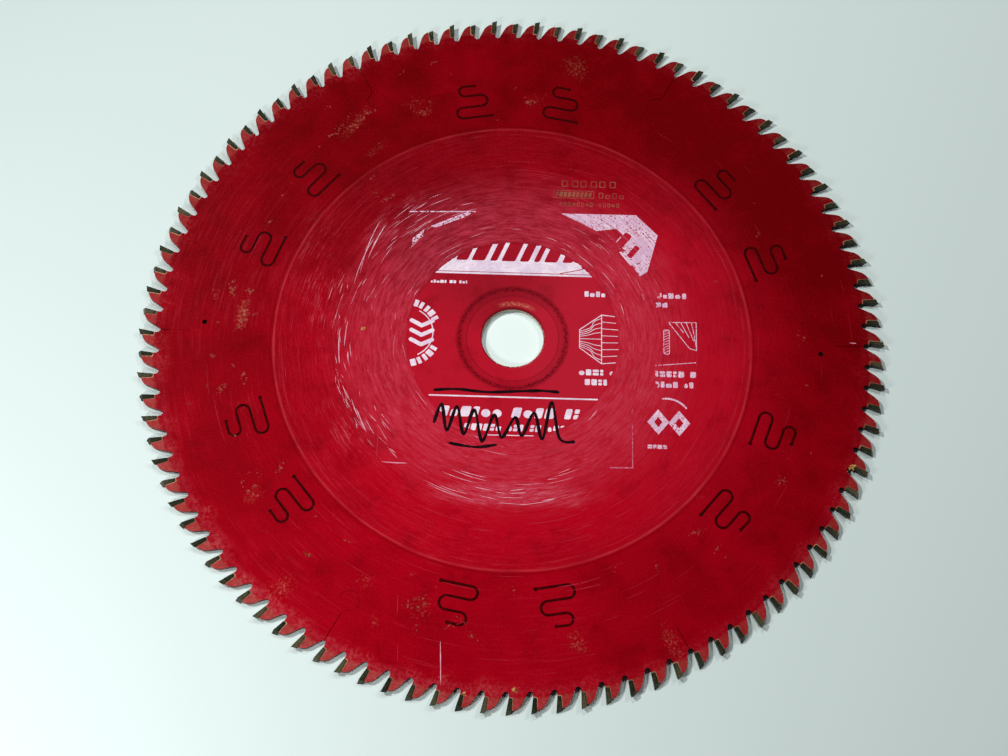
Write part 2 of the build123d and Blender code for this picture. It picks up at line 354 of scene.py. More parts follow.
    # walls: burnt in the narrow cuts, grimy in the gullets and near black round the right and lower rim as painted
    # shade, bare in the bore
    slot = g.step(r, 136.0, 133.0)
    painted_wall_shade = (g.step(u, -0.3, 0.5) + low).sat() * g.step(r, 147.5, 145.0)
    side = g.mix(g.step(crust, 0.35, 0.65), linear(70, 18, 20), linear(150, 56, 56))
    side = g.mix(g.step(crust + chance * 0.2, 0.62, 0.74) * 0.5, side, linear(38, 34, 26))
    side = g.mix(painted_wall_shade * 0.85, side, linear(18, 14, 10))
    side = g.mix(slot, side, linear(52, 6, 8))
    colour = g.mix(wall, colour, side)
    bore = g.step(r, 13.1, 12.9) * wall
    steel = g.mix(g.noise(g.vec(u * 30.0, v * 30.0, z * 3.0), 1.0, 3.0), linear(120, 112, 100), linear(206, 200, 186))
    colour = g.mix(bore, colour, steel)
    # a thin rim round the bore, lighter towards the lower right and darker on the other side: painted light and shade
    edge = g.line(r, 12.9, 0.4) * (1.0 - wall)
    colour = g.mix(edge * 0.75, colour, g.mix(g.step(grain + u * 0.12 - v * 0.12, 0.56, 0.68), linear(70, 14, 18), linear(190, 150, 140)))

    rough = 0.40 + rub_haze_and_sheen * 0.16 + (grain - 0.5) * 0.12 + stained * 0.25 + scratch_and_glint * 0.1 + flange * 0.12 - disc * 0.04
    height = (fine - 0.5) * (0.35 + 0.4 * band) + (hair - 0.5) * 0.35 * (1.0 - disc) + (grain - 0.5) * 0.22
    height = height + stained * 0.5 + crumbs * 0.5 - flange * 0.25
    out = g.node("NodeGroupOutput")
    for i, sock in enumerate((colour, rough.sat(), height, scratch_and_glint)):
        g.put(out.inputs[i], sock)
    return t


coating = coating_group()


def use_coating(g):
    n = g.node("ShaderNodeGroup", node_tree=coating)
    return [S(g, n.outputs[k]) for k in ("Color", "Roughness", "Height", "Scratch")]


def coated_steel():
    mat, g, bsdf = material("coated_steel")
    colour, rough, height, _ = use_coating(g)
    g.put(bsdf.inputs["Base Color"], colour)
    g.put(bsdf.inputs["Roughness"], rough)
    bsdf.inputs["Specular IOR Level"].default_value = 0.10
    g.put(bsdf.inputs["Normal"], g.bump(height, 0.05, 0.55))
    return mat


def tooth_space(g, x, y, r):
    """Place within the tooth: mm behind the front corner, mm from the axis, and a number for the tooth."""
    pitch = math.radians(3.6)
    turn = (g.m("ARCTAN2", x, y) + math.radians(0.287)) / pitch
    index = (turn + 0.3).floor()
    within = (turn - index) * pitch * r  # clockwise of the front corner
    return within, index


def carbide_material():
    mat, g, bsdf = material("carbide")
    p, x, y, z, r, u, v, ring = fields(g)
    within, index = tooth_space(g, x, y, r)
    chance = g.hash(index + 11.0)
    other = g.hash(index * 3.0 + 5.0)
    blot = g.noise(g.vscale(p, 0.55), 1.0, 4.0, 0.65, 0.5)
    fleck = g.noise(g.vscale(p, 2.6), 1.0, 3.0, 0.7)
    grind = g.noise(g.vec(within * 1.2, r * 9.0, z * 9.0), 1.0, 2.0, 0.5)
    colour = g.mix(g.step(blot + (chance - 0.5) * 0.25, 0.32, 0.68), linear(34, 37, 25), linear(82, 84, 62))
    colour = g.mix(g.step(fleck, 0.35, 0.7) * 0.35, colour, linear(66, 62, 42))
    # resin burnt on, thicker towards the foot and the back, and black at the edges
    foot = g.step(r, 148.6, 146.2)
    gum = g.step(blot * 0.6 + fleck * 0.5 + foot * 0.22 + (other - 0.5) * 0.22, 0.52, 0.70)
    colour = g.mix(gum * 0.8, colour, linear(28, 24, 14))
    tan = g.step(fleck + (chance - 0.5) * 0.3 + g.step(v, 0.2, -0.8) * 0.05, 0.60, 0.74)
    colour = g.mix(tan * 0.40, colour, linear(140, 116, 82))
    lean = (152.4 - r) * math.tan(math.radians(10.0))
    front_edge = g.step((within + lean).abs(), 0.42, 0.05)
    back_edge = g.step((within + 2.28 + lean * 0.0).abs(), 0.30, 0.04)
    colour = g.mix(front_edge * 0.7, colour, linear(16, 15, 9))
    colour = g.mix(back_edge * 0.5, colour, linear(24, 20, 12))
    # a light line along the tip's upper and lower edges: painted highlight
    ridge_highlight = g.step(z.abs(), 1.12, 1.24) * g.step(fleck, 0.45, 0.7)
    colour = g.mix(ridge_highlight * 0.25, colour, linear(150, 150, 132))
    g.put(bsdf.inputs["Base Color"], colour)
    g.put(bsdf.inputs["Roughness"], (0.42 + gum * 0.3 + (grind - 0.5) * 0.2).sat())
    g.put(bsdf.inputs["Metallic"], (0.28 - gum * 0.26).sat())
    bsdf.inputs["Specular IOR Level"].default_value = 0.4
    g.put(bsdf.inputs["Normal"], g.bump((grind - 0.5) * 0.4 + gum * 0.6 + fleck * 0.4, 0.06, 0.7))
    return mat


def braze_material():
    mat, g, bsdf = material("braze")
    p, x, y, z, r, u, v, ring = fields(g)
    within, index = tooth_space(g, x, y, r)
    chance = g.hash(index + 3.0)
    blot = g.noise(g.vscale(p, 0.9), 1.0, 4.0, 0.65)
    fleck = g.noise(g.vscale(p, 3.2), 1.0, 3.0, 0.7)
    colour = g.mix(g.step(blot, 0.34, 0.66), linear(176, 108, 78), linear(226, 186, 150))
    gum = g.step(fleck * 0.6 + blot * 0.5 + (chance - 0.5) * 0.35 + g.step(u, -0.2, 0.7) * 0.08, 0.44, 0.64)
    colour = g.mix(gum * 0.82, colour, linear(92, 46, 34))
    g.put(bsdf.inputs["Base Color"], colour)
    g.put(bsdf.inputs["Roughness"], (0.42 + gum * 0.3).sat())
    g.put(bsdf.inputs["Metallic"], (0.35 - gum * 0.3).sat())
    g.put(bsdf.inputs["Normal"], g.bump(blot * 0.6 + fleck * 0.5, 0.08, 0.8))
    return mat


steel, carbide, braze = coated_steel(), carbide_material(), braze_material()
for name, obj in nodes.items():
    mat = steel if name == "saw_plate" else carbide if name.startswith("carbide") else braze
    obj.data.materials.clear()
    obj.data.materials.append(mat)

# ------------------------------------------- thin shapes that lie on the plate
# A shape is a field over the top view, in mm: above 0 inside. Its outline is
# traced, triangulated and given a thickness, so print, ink and resin are solids.
_tables = {}


def lattice(x, y, seed):
    """Smooth noise, 0 to 1, from a fixed table of random numbers."""
    if seed not in _tables:
        _tables[seed] = np.random.RandomState(seed).rand(256, 256)
    t = _tables[seed]
    xi, yi = np.floor(x).astype(int), np.floor(y).astype(int)
    fx, fy = x - xi, y - yi
    fx, fy = fx * fx * (3 - 2 * fx), fy * fy * (3 - 2 * fy)
    a, b = t[xi & 255, yi & 255], t[(xi + 1) & 255, yi & 255]
    c, d = t[xi & 255, (yi + 1) & 255], t[(xi + 1) & 255, (yi + 1) & 255]
    return (a * (1 - fx) + b * fx) * (1 - fy) + (c * (1 - fx) + d * fx) * fy


def rough_noise(x, y, seed, octaves=4, keep=0.55):
    """Noise about 0, from -0.5 to 0.5."""
    total, weight, k = 0.0, 0.0, 1.0
    for o in range(octaves):
        total = total + k * lattice(x * 2**o + 17 * o, y * 2**o, seed + o)
        weight += k
        k *= keep
    return total / weight - 0.5


def ring_noise(X, Y, around, across, seed, octaves=3):
    """Noise drawn out along circles about the bore."""
    r, a = np.hypot(X, Y), np.arctan2(Y, X) + np.pi
    return rough_noise(a * around + 40, r * across, seed, octaves)


class Canvas:
    def __init__(self, x0, y0, x1, y1, h=0.14):
        self.x0, self.y0, self.h = x0, y0, h
        self.nx, self.ny = int((x1 - x0) / h) + 2, int((y1 - y0) / h) + 2
        self.X, self.Y = np.meshgrid(x0 + h * np.arange(self.nx), y0 + h * np.arange(self.ny))
        self.F = np.full(self.X.shape, -1.0)

    def near(self, x, y, reach):
        i0, i1 = int((x - reach - self.x0) / self.h), int((x + reach - self.x0) / self.h) + 2
        j0, j1 = int((y - reach - self.y0) / self.h), int((y + reach - self.y0) / self.h) + 2
        return slice(max(j0, 0), max(j1, 0)), slice(max(i0, 0), max(i1, 0))

    def put(self, x, y, reach, shape, cut=False):
        w = self.near(x, y, reach)
        if self.X[w].size:
            f = shape(self.X[w], self.Y[w])
            self.F[w] = np.minimum(self.F[w], -f) if cut else np.maximum(self.F[w], f)

    def box(self, x, y, w, h, turn=0.0, soft=0.12, slant=0.0, cut=False):
        a = math.radians(turn)

        def shape(X, Y):
            px = (X - x) * math.cos(a) + (Y - y) * math.sin(a)
            py = -(X - x) * math.sin(a) + (Y - y) * math.cos(a)
            px = px - slant * py
            dx, dy = abs(px) - (w / 2 - soft), abs(py) - (h / 2 - soft)
            return soft - np.hypot(np.maximum(dx, 0), np.maximum(dy, 0)) - np.minimum(np.maximum(dx, dy), 0)

        self.put(x, y, (w + h) * (0.6 + abs(slant) / 2) + 1, shape, cut)

    def disc(self, x, y, rx, ry=None, cut=False):
        ry = ry or rx
        self.put(x, y, max(rx, ry) + 1, lambda X, Y: (1 - np.hypot((X - x) / rx, (Y - y) / ry)) * min(rx, ry), cut)

    def line(self, points, width, cut=False, taper=None):
        for k, ((ax, ay), (bx, by)) in enumerate(zip(points[:-1], points[1:])):
            dx, dy = bx - ax, by - ay
            long = max(dx * dx + dy * dy, 1e-9)
            w0 = width if taper is None else taper[k]
            w1 = width if taper is None else taper[k + 1]

            def shape(X, Y):
                t = np.clip(((X - ax) * dx + (Y - ay) * dy) / long, 0, 1)
                return (w0 + (w1 - w0) * t) / 2 - np.hypot(X - ax - t * dx, Y - ay - t * dy)

            self.put((ax + bx) / 2, (ay + by) / 2, math.sqrt(long) / 2 + width + 0.5, shape, cut)

    def arc(self, x, y, r, a0, a1, width, cut=False):
        n = max(4, int(abs(a1 - a0) / 6))
        angles = [math.radians(a0 + (a1 - a0) * k / n) for k in range(n + 1)]
        self.line([(x + r * math.cos(a), y + r * math.sin(a)) for a in angles], width, cut)

    def polygon(self, points, cut=False):
        pts = np.array(points, float)

        def shape(X, Y):
            inside, far = np.zeros(X.shape, bool), np.full(X.shape, 1e9)
            for (ax, ay), (bx, by) in zip(pts, np.roll(pts, -1, 0)):
                crosses = (ay > Y) != (by > Y)
                inside ^= crosses & (X < (bx - ax) * (Y - ay) / ((by - ay) or 1e-9) + ax)
                dx, dy = bx - ax, by - ay
                t = np.clip(((X - ax) * dx + (Y - ay) * dy) / (dx * dx + dy * dy), 0, 1)
                far = np.minimum(far, np.hypot(X - ax - t * dx, Y - ay - t * dy))
            return np.where(inside, far, -far)

        mid = (pts.max(0) + pts.min(0)) / 2
        self.put(*mid, float(np.ptp(pts, axis=0).max()) / 2 + 1, shape, cut)

    def keep(self, field):
        self.F = np.minimum(self.F, field)

    def greek(self, x0, x1, y, h, seed, slant=0.0, heavy=1.0):
        """A row of plain blocks where a line of print would be."""
        rng = np.random.RandomState(seed)
        x, left = x0, rng.randint(3, 7)
        while x < x1 - 0.3 * h:
            if left == 0:
                x += 0.75 * h
                left = rng.randint(2, 8)
                continue
            w = min(h * rng.uniform(0.55, 1.15) * heavy, x1 - x)
            kind = rng.randint(7) % 5
            if kind <= 1:
                self.box(x + w / 2, y, w, h, soft=0.16 * h, slant=slant)
            elif kind == 2:
                self.box(x + w / 2 + slant * 0.27 * h, y + 0.27 * h, w, 0.42 * h, soft=0.12 * h, slant=slant)
                self.box(x + w / 2 - slant * 0.27 * h, y - 0.27 * h, w, 0.42 * h, soft=0.12 * h, slant=slant)
            elif kind == 3:
                self.box(x + w / 2 - slant * 0.16 * h, y - 0.16 * h, w, 0.66 * h, soft=0.16 * h, slant=slant)
            else:
                self.disc(x + w / 2, y - 0.12 * h, 0.5 * w, 0.38 * h)
            x += w + 0.22 * h
            left -= 1


# which two sides of a cell each piece of outline joins, by the corners inside
# (sides: 0 bottom, 1 right, 2 top, 3 left), with the inside on its left
SIDES = {1: [(0, 3)], 2: [(1, 0)], 4: [(2, 1)], 8: [(3, 2)], 3: [(1, 3)], 6: [(2, 0)], 12: [(3, 1)],
         9: [(0, 2)], 7: [(2, 3)], 11: [(1, 2)], 13: [(0, 1)], 14: [(3, 0)], 5: [(0, 3), (2, 1)], 10: [(1, 0), (3, 2)]}


def crossing(F, side, j, i):
    """Where the outline crosses a side of a cell: its name and its place in cells."""
    if side in (0, 2):
        j = j + (side == 2)
        a, b = F[j, i], F[j, i + 1]
        return (0, j, i), (i + a / (a - b), j)
    i = i + (side == 1)
    a, b = F[j, i], F[j + 1, i]
    return (1, j, i), (i, j + a / (a - b))


def framed(canvas):
    F = canvas.F.copy()
    F[np.abs(F) < 1e-6] = -1e-6
    F[0], F[-1], F[:, 0], F[:, -1] = -1, -1, -1, -1
    return F


def codes(F):
    n = (F > 0).astype(int)
    return n[:-1, :-1] + 2 * n[:-1, 1:] + 4 * n[1:, 1:] + 8 * n[1:, :-1]


def outlines(canvas, least=0.05, tol=0.018):
    F = framed(canvas)
    code = codes(F)
    follow, place = {}, {}
    for j, i in np.argwhere((code > 0) & (code < 15)):
        for a, b in SIDES[code[j, i]]:
            ka, pa = crossing(F, a, j, i)
            kb, pb = crossing(F, b, j, i)
            follow[ka], place[ka], place[kb] = kb, pa, pb
    loops = []
    while follow:
        start, k = next(iter(follow.items()))
        ring = [start]
        del follow[start]
        while k != start:
            ring.append(k)
            k = follow.pop(k)
        pts = np.array([place[k] for k in ring]) * canvas.h + (canvas.x0, canvas.y0)
        if len(pts) < 4:
            continue
        x, y = pts.T
        if abs(np.dot(x, np.roll(y, -1)) - np.dot(y, np.roll(x, -1))) / 2 < least:
            continue
        pts = thinned(pts, tol)
        if len(pts) >= 3:
            loops.append(pts)
    return loops


def thinned(pts, tol):
    """Fewer points, none further than tol from the old outline."""
    far = int(np.argmax(np.hypot(*(pts - pts[0]).T)))
    keep = np.zeros(len(pts) + 1, bool)
    closed = np.vstack([pts, pts[:1]])
    stack = [(0, far), (far, len(pts))]
    keep[[0, far, len(pts)]] = True
    while stack:
        a, b = stack.pop()
        if b - a < 2:
            continue
        d = closed[b] - closed[a]
        n = np.hypot(*d) or 1e-9
        off = np.abs(d[0] * (closed[a + 1:b, 1] - closed[a, 1]) - d[1] * (closed[a + 1:b, 0] - closed[a, 0])) / n
        k = int(np.argmax(off))
        if off[k] > tol:
            k += a + 1
            keep[k] = True
            stack += [(a, k), (k, b)]
    return closed[:-1][keep[:-1]]


PARTS = []


def piece(name, verts, faces, mat, smooth=False):
    me = bpy.data.meshes.new(name)
    me.from_pydata([tuple(np.asarray(v) * MM) for v in verts], [], faces)
    me.materials.append(mat)
    if smooth:
        me.polygons.foreach_set("use_smooth", [True] * len(me.polygons))
    me.validate()
    me.update()
    o = bpy.data.objects.new(name, me)
    bpy.context.scene.collection.objects.link(o)
    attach(o, "root")
    PARTS.append(o)
    return o


def flat_piece(name, canvas, mat, low=TOP - 0.01, high=TOP + 0.014, least=0.05):
    """A closed sheet of one thickness with the canvas's outline."""
    loops = outlines(canvas, least)
    pts = [Vector(p) for loop in loops for p in loop]
    edges, n = [], 0
    for loop in loops:
        edges += [(n + k, n + (k + 1) % len(loop)) for k in range(len(loop))]
        n += len(loop)
    v2, _, tris, _, _, _ = delaunay_2d_cdt(pts, edges, [], 1, 1e-6)
    xy = np.array([tuple(v) for v in v2])
    fixed = []
    mids = np.array([xy[list(t)].mean(0) for t in tris])
    crossed = np.zeros(len(mids), int)
    for loop in loops:
        for (ax, ay), (bx, by) in zip(loop, np.roll(loop, -1, 0)):
            if ay != by:
                cuts = ((ay > mids[:, 1]) != (by > mids[:, 1])) & (mids[:, 0] < (bx - ax) * (mids[:, 1] - ay) / (by - ay) + ax)
                crossed += cuts
    for t, n_cross in zip(tris, crossed):
        if n_cross % 2 == 0:
            continue
        a, b, c = xy[list(t[:3])]
        turn = (b[0] - a[0]) * (c[1] - a[1]) - (b[1] - a[1]) * (c[0] - a[0])
        fixed.append(tuple(t) if turn > 0 else tuple(t)[::-1])
    used = sorted({k for t in fixed for k in t})
    new = {k: i for i, k in enumerate(used)}
    fixed = [tuple(new[k] for k in t) for t in fixed]
    xy = xy[used]
    n = len(xy)
    verts = [(x, y, high) for x, y in xy] + [(x, y, low) for x, y in xy]
    one_way = {(t[k], t[(k + 1) % len(t)]) for t in fixed for k in range(len(t))}
    faces = list(fixed) + [tuple(k + n for k in t[::-1]) for t in fixed]
    faces += [(b, a, a + n, b + n) for a, b in one_way if (b, a) not in one_way]
    return piece(name, verts, faces, mat)


def crust_piece(name, canvas, height, mat, base=TOP, sink=0.012, least_cells=3):
    """A closed lump or a spread of flakes: a flat foot just under the face and a top with the given height."""
    F = framed(canvas)
    code = codes(F)
    at, verts, top, bottom = {}, [], [], []

    def grid_vertex(j, i):
        if (2, j, i) not in at:
            at[2, j, i], at[3, j, i] = len(verts), len(verts) + 1
            x, y = canvas.x0 + i * canvas.h, canvas.y0 + j * canvas.h
            verts.append((x, y, base + max(height[j, i], 0.002)))
            verts.append((x, y, base - sink))
        return at[2, j, i], at[3, j, i]

    def edge_vertex(side, j, i):
        k, (cx, cy) = crossing(F, side, j, i)
        if k not in at:
            at[k] = len(verts)
            verts.append((canvas.x0 + cx * canvas.h, canvas.y0 + cy * canvas.h, base - sink))
        return at[k], at[k]

    corners = ((0, 0), (0, 1), (1, 1), (1, 0))
    for j, i in np.argwhere(code > 0):
        c = code[j, i]
        ring = []
        for k, (dj, di) in enumerate(corners):
            if c >> k & 1:
                ring.append(grid_vertex(j + dj, i + di))
            if (c >> k & 1) != (c >> (k + 1) % 4 & 1):
                ring.append(edge_vertex(k, j, i))
        top.append(tuple(a for a, _ in ring))
        bottom.append(tuple(b for _, b in ring[::-1]))
    return piece(name, verts, top + bottom, mat, smooth=True)


def smooth_path(points, n=7):
    """A smooth line through the points."""
    p = [points[0]] + list(points) + [points[-1]]
    out = []
    for a, b, c, d in zip(p[:-3], p[1:-2], p[2:-1], p[3:]):
        for k in range(n):
            t = k / n
            out.append(tuple(0.5 * (2 * b[m] + (c[m] - a[m]) * t + (2 * a[m] - 5 * b[m] + 4 * c[m] - d[m]) * t * t
                                    + (3 * b[m] - a[m] - 3 * c[m] + d[m]) * t**3) for m in (0, 1)))
    return out + [points[-1]]


def slivers(name, paths, mat, seed=1):
    """Fine scratches: each path (points, width) is a thin closed strip that ends in points."""
    rng = np.random.RandomState(seed)
    verts, faces = [], []
    for pts, width in paths:
        pts = np.array(pts, float)
        n = len(pts)
        d = np.gradient(pts, axis=0)
        d /= np.hypot(*d.T)[:, None] + 1e-9
        side = np.c_[-d[:, 1], d[:, 0]]
        w = width / 2 * np.sin(np.linspace(0.0, np.pi, n)) ** 0.6 * rng.uniform(0.75, 1.0, n)
        w[0] = w[-1] = 0.004
        high, low, k = TOP + rng.uniform(0.004, 0.016), TOP - 0.008, len(verts)
        for s, z in ((1, high), (-1, high), (-1, low), (1, low)):
            verts += [(x, y, z) for x, y in pts + side * (s * w)[:, None]]
        for i in range(n - 1):
            for m in range(4):
                a, b = k + m * n + i, k + (m + 1) % 4 * n + i
                faces.append((a, b, b + 1, a + 1))
        faces.append((k, k + 3 * n, k + 2 * n, k + n))
        faces.append((k + n - 1, k + 2 * n - 1, k + 3 * n - 1, k + 4 * n - 1))
    return piece(name, verts, faces, mat)


def circular(rng, count, r0, r1, a0, a1, long, width, drift=0.4):
    """Scratches along circles about the bore, from angle a0 to a1 in degrees."""
    paths = []
    for _ in range(count):
        r, a = rng.uniform(r0, r1), rng.uniform(a0, a1)
        span = math.degrees(rng.uniform(*long) / r)
        out = rng.uniform(-drift, drift)
        n = max(5, int(span / 1.5))
        t = np.linspace(0, 1, n)
        ang = np.radians(a + span * (t - 0.5))
        rr = r + out * (t - 0.5) * 2
        paths.append((np.c_[rr * np.cos(ang), rr * np.sin(ang)], rng.uniform(*width)))
    return paths


# ------------------------------------------------- what those shapes are made of
def ink_material(name, light, shade, wear, specks=0.35):
    """Printed ink. Where it is worn through, the coating below shows."""
    mat, g, bsdf = material(name)
    below, rough, height, _ = use_coating(g)
    p, x, y, z, r, u, v, ring = fields(g)
    hair = g.noise(ring(6.0, 5.5, 21.0), 1.0, 3.0, 0.6)
    speck = g.noise(g.vscale(p, 1.15), 1.0, 4.0, 0.65)
    cloud = g.noise(g.vscale(p, 0.16), 1.0, 3.0, 0.6)
    slash = g.noise(g.vec(x * 0.9 - y * 1.1, x * 0.16 + y * 0.14, 4.0), 1.0, 1.0, 0.5)
    colour = g.mix(g.step(cloud + (speck - 0.5) * 0.4, 0.3, 0.7), linear(*shade), linear(*light))
    thin = g.step(hair, 0.40, 0.66) * 0.22
    colour = g.mix(thin, colour, below)
    nick = g.step(slash, 0.735, 0.78) * g.step(cloud, 0.45, 0.6)
    colour = g.mix(nick * 0.7, colour, linear(92, 24, 44))
    bare = g.step(hair * 0.55 + speck * 0.6 + (cloud - 0.5) * 0.3, 0.715 - wear * 0.24, 0.76 - wear * 0.24)
    spots = g.step(speck, 0.70 - specks * 0.14, 0.74 - specks * 0.14)
    bare = g.mx(bare, spots * specks * 2.0).sat()
    colour = g.mix(bare, colour, below)
    g.put(bsdf.inputs["Base Color"], colour)
    g.put(bsdf.inputs["Roughness"], (rough + 0.06 - bare * 0.06).sat())
    bsdf.inputs["Specular IOR Level"].default_value = 0.2
    g.put(bsdf.inputs["Normal"], g.bump(height + (1.0 - bare) * 0.5, 0.03, 0.5))
    return mat


def marker_material():
    mat, g, bsdf = material("marker_ink")
    p, x, y, z, r, u, v, ring = fields(g)
    cloud = g.noise(g.vscale(p, 0.35), 1.0, 3.0, 0.6)
    speck = g.noise(g.vscale(p, 1.8), 1.0, 3.0, 0.7)
    colour = g.mix(g.step(cloud, 0.3, 0.7), linear(14, 8, 12), linear(36, 14, 20))
    colour = g.mix(g.step(speck, 0.62, 0.74) * 0.35, colour, linear(96, 30, 46))
    g.put(bsdf.inputs["Base Color"], colour)
    g.put(bsdf.inputs["Roughness"], (0.36 + (speck - 0.5) * 0.3).sat())
    bsdf.inputs["Specular IOR Level"].default_value = 0.3
    g.put(bsdf.inputs["Normal"], g.bump(speck, 0.02, 0.4))
    return mat


def resin_material(name, light, shade, deep):
    mat, g, bsdf = material(name)
    p, x, y, z, r, u, v, ring = fields(g)
    lump = g.noise(g.vscale(p, 0.8), 1.0, 5.0, 0.7, 0.3)
    fleck = g.noise(g.vscale(p, 3.5), 1.0, 3.0, 0.7)
    colour = g.mix(g.step(lump, 0.34, 0.66), linear(*shade), linear(*light))
    colour = g.mix(g.step(fleck, 0.46, 0.62) * 0.75, colour, linear(*deep))
    g.put(bsdf.inputs["Base Color"], colour)
    g.put(bsdf.inputs["Roughness"], (0.5 + (lump - 0.5) * 0.5).sat())
    bsdf.inputs["Specular IOR Level"].default_value = 0.3
    g.put(bsdf.inputs["Normal"], g.bump(lump * 0.6 + fleck * 0.5, 0.12, 0.9))
    return mat


white_ink = ink_material("white_ink", (252, 240, 252), (226, 206, 230), 0.0, 0.05)
worn_ink = ink_material("worn_ink", (246, 222, 244), (222, 184, 214), 0.42, 0.6)
faint_ink = ink_material("faint_ink", (216, 142, 166), (198, 96, 124), 0.45, 0.3)
scratch_and_glint_mat = ink_material("scratch_and_glint", (244, 206, 222), (216, 136, 162), 0.05, 0.1)
dull_scratch = ink_material("dull_scratch", (184, 52, 74), (166, 30, 50), 0.2, 0.1)
etch_mat = ink_material("etch", (158, 100, 78), (126, 56, 48), 0.25, 0.4)
marker = marker_material()
tan_resin = resin_material("tan_resin", (176, 92, 76), (134, 40, 36), (104, 18, 18))
dark_resin = resin_material("dark_resin", (150, 84, 58), (104, 44, 30), (48, 22, 14))
gold_resin = resin_material("gold_resin", (222, 178, 110), (168, 112, 58), (92, 52, 24))

# ----------------------------------------------------------- the printed panel
EDGE = 43.2  # inside this radius the flange kept the print from wear


def kept(c, rough=0.35, seed=5):
    r, a = np.hypot(c.X, c.Y), np.arctan2(c.Y, c.X)
    ragged = rough_noise(a * 34 + 90, r * 0.9, seed, 3) * 2.0 * rough + rough_noise(c.X * 1.3, c.Y * 1.3, seed + 9, 3) * rough
    return EDGE + ragged - r


c = Canvas(-35, 27, 36, 44)
c.polygon([(-40, 28.35), (40, 28.35), (40, 45), (-40, 45)])
c.box(0, 29.35, 80, 0.30, cut=True, soft=0.02)
for x, w in ((-25.4, 3.0), (-19.8, 4.8), (-13.0, 5.6), (-6.6, 3.0), (-0.4, 5.8), (6.2, 3.8), (11.4, 2.4), (17.2, 5.4), (24.2, 4.2)):
    c.box(x, 39.9, w, 10.6, soft=0.8, slant=0.42, cut=True)
c.line([(19, 29.6), (27, 31.4), (31.5, 33.2)], 0.35, cut=True)
c.keep(kept(c, 0.45))
flat_piece("print_panel", c, white_ink)

# the worn patch of the same print outside the flange, upper right
c = Canvas(15, 27, 63, 60, 0.16)
c.polygon([(19.2, 57.6), (50.8, 57.8), (59.9, 48.6), (55.4, 31.6), (52.2, 29.4), (49.4, 34.0), (48.4, 45.0), (42.6, 51.2), (34.3, 49.8)])
c.box(47.0, 43.4, 9.5, 4.2, turn=-38, soft=1.2)
c.polygon([(43.6, 40.4), (52.0, 41.4), (52.0, 33.8), (48.2, 34.4)])
c.box(45.4, 45.6, 3.4, 8.2, turn=-38, soft=0.9, cut=True)
c.box(49.6, 40.6, 2.4, 6.4, turn=-38, soft=0.7, cut=True)
inner = np.hypot(c.X, c.Y)
lines = ring_noise(c.X, c.Y, 60, 2.1, 31, 3)
c.keep((inner - 57.3) * 0.25 + 0.5 + lines * 3.2)
c.keep(0.33 + rough_noise(c.X * 1.1, c.Y * 1.1, 61, 4) * 1.25 + (inner - 55) * 0.01)
c.keep(0.44 + rough_noise(c.X * 1.8, c.Y * 1.8, 64, 2) * 1.5)
flat_piece("print_patch_right", c, worn_ink)

c = Canvas(-46, 38, -15, 60, 0.16)
c.polygon([(-35.6, 49.9), (-20.0, 57.2), (-17.6, 57.3), (-21.2, 54.6), (-33.6, 49.2)])
c.polygon([(-42.8, 44.0), (-38.2, 48.4), (-38.7, 44.9), (-42.9, 41.2)])
c.line([(-44.8, 56.4), (-17, 57.3)], 0.5)
c.keep(0.22 + ring_noise(c.X, c.Y, 50, 1.9, 77, 3) * 1.9)
flat_piece("print_patch_left", c, worn_ink)

# rows of plain blocks where there was small print
c = Canvas(-46, 15, 45, 27, 0.13)
c.greek(-34.4, -19.4, 24.5, 1.35, 3)
c.greek(29.3, 39.8, 20.7, 2.5, 9, heavy=0.9)
c.keep(kept(c, 0.5, 15))
flat_piece("print_rows_top", c, white_ink)

c = Canvas(56, 14, 75, 24, 0.13)
c.greek(59.4, 72.3, 20.9, 2.5, 12, heavy=0.9)
c.greek(58.8, 64.4, 16.7, 2.2, 14, heavy=0.9)
c.keep(0.30 + rough_noise(c.X * 0.9, c.Y * 0.9, 41, 4) * 1.4 + (c.X - 63) * 0.07)
c.keep((72.6 - c.X) * 0.2 + rough_noise(c.X, c.Y, 43, 3))
flat_piece("print_rows_top_right", c, worn_ink)

c = Canvas(26, -21, 46, -12, 0.13)
c.greek(27.2, 44.6, -14.1, 2.6, 21, heavy=0.85)
c.greek(29.6, 43.6, -18.35, 2.6, 23, heavy=0.85)
c.keep(kept(c, 0.5, 25))
flat_piece("print_rows_right", c, white_ink)

c = Canvas(56, -21, 77, -7, 0.13)
c.greek(58.2, 75.0, -13.9, 2.6, 31, heavy=0.85)
c.greek(58.0, 73.6, -18.5, 2.6, 35, heavy=0.85)
c.line([(58.2, -10.3), (75.3, -8.5)], 0.30)
c.keep(0.30 + rough_noise(c.X * 0.9, c.Y * 0.9, 51, 4) * 1.3 + (c.X - 62) * 0.08)
c.keep((75.6 - c.X) * 0.2 + rough_noise(c.X, c.Y, 53, 3))
flat_piece("print_rows_far_right", c, worn_ink)

# a long rule, a heavy slanted row, a lighter row and an underline
c = Canvas(-36, -44, 40, -24, 0.13)
c.line([(-32.9, -25.85), (38.2, -25.8)], 0.62)
c.greek(-28.6, 35.6, -32.4, 4.4, 58, slant=0.25, heavy=0.78)
c.greek(-18.6, 22.8, -38.9, 2.9, 47, slant=0.2, heavy=0.72)
c.line([(-9.0, -42.15), (13.6, -42.0)], 0.36)
c.keep(kept(c, 0.5, 45))
flat_piece("print_rows_low", c, white_ink)

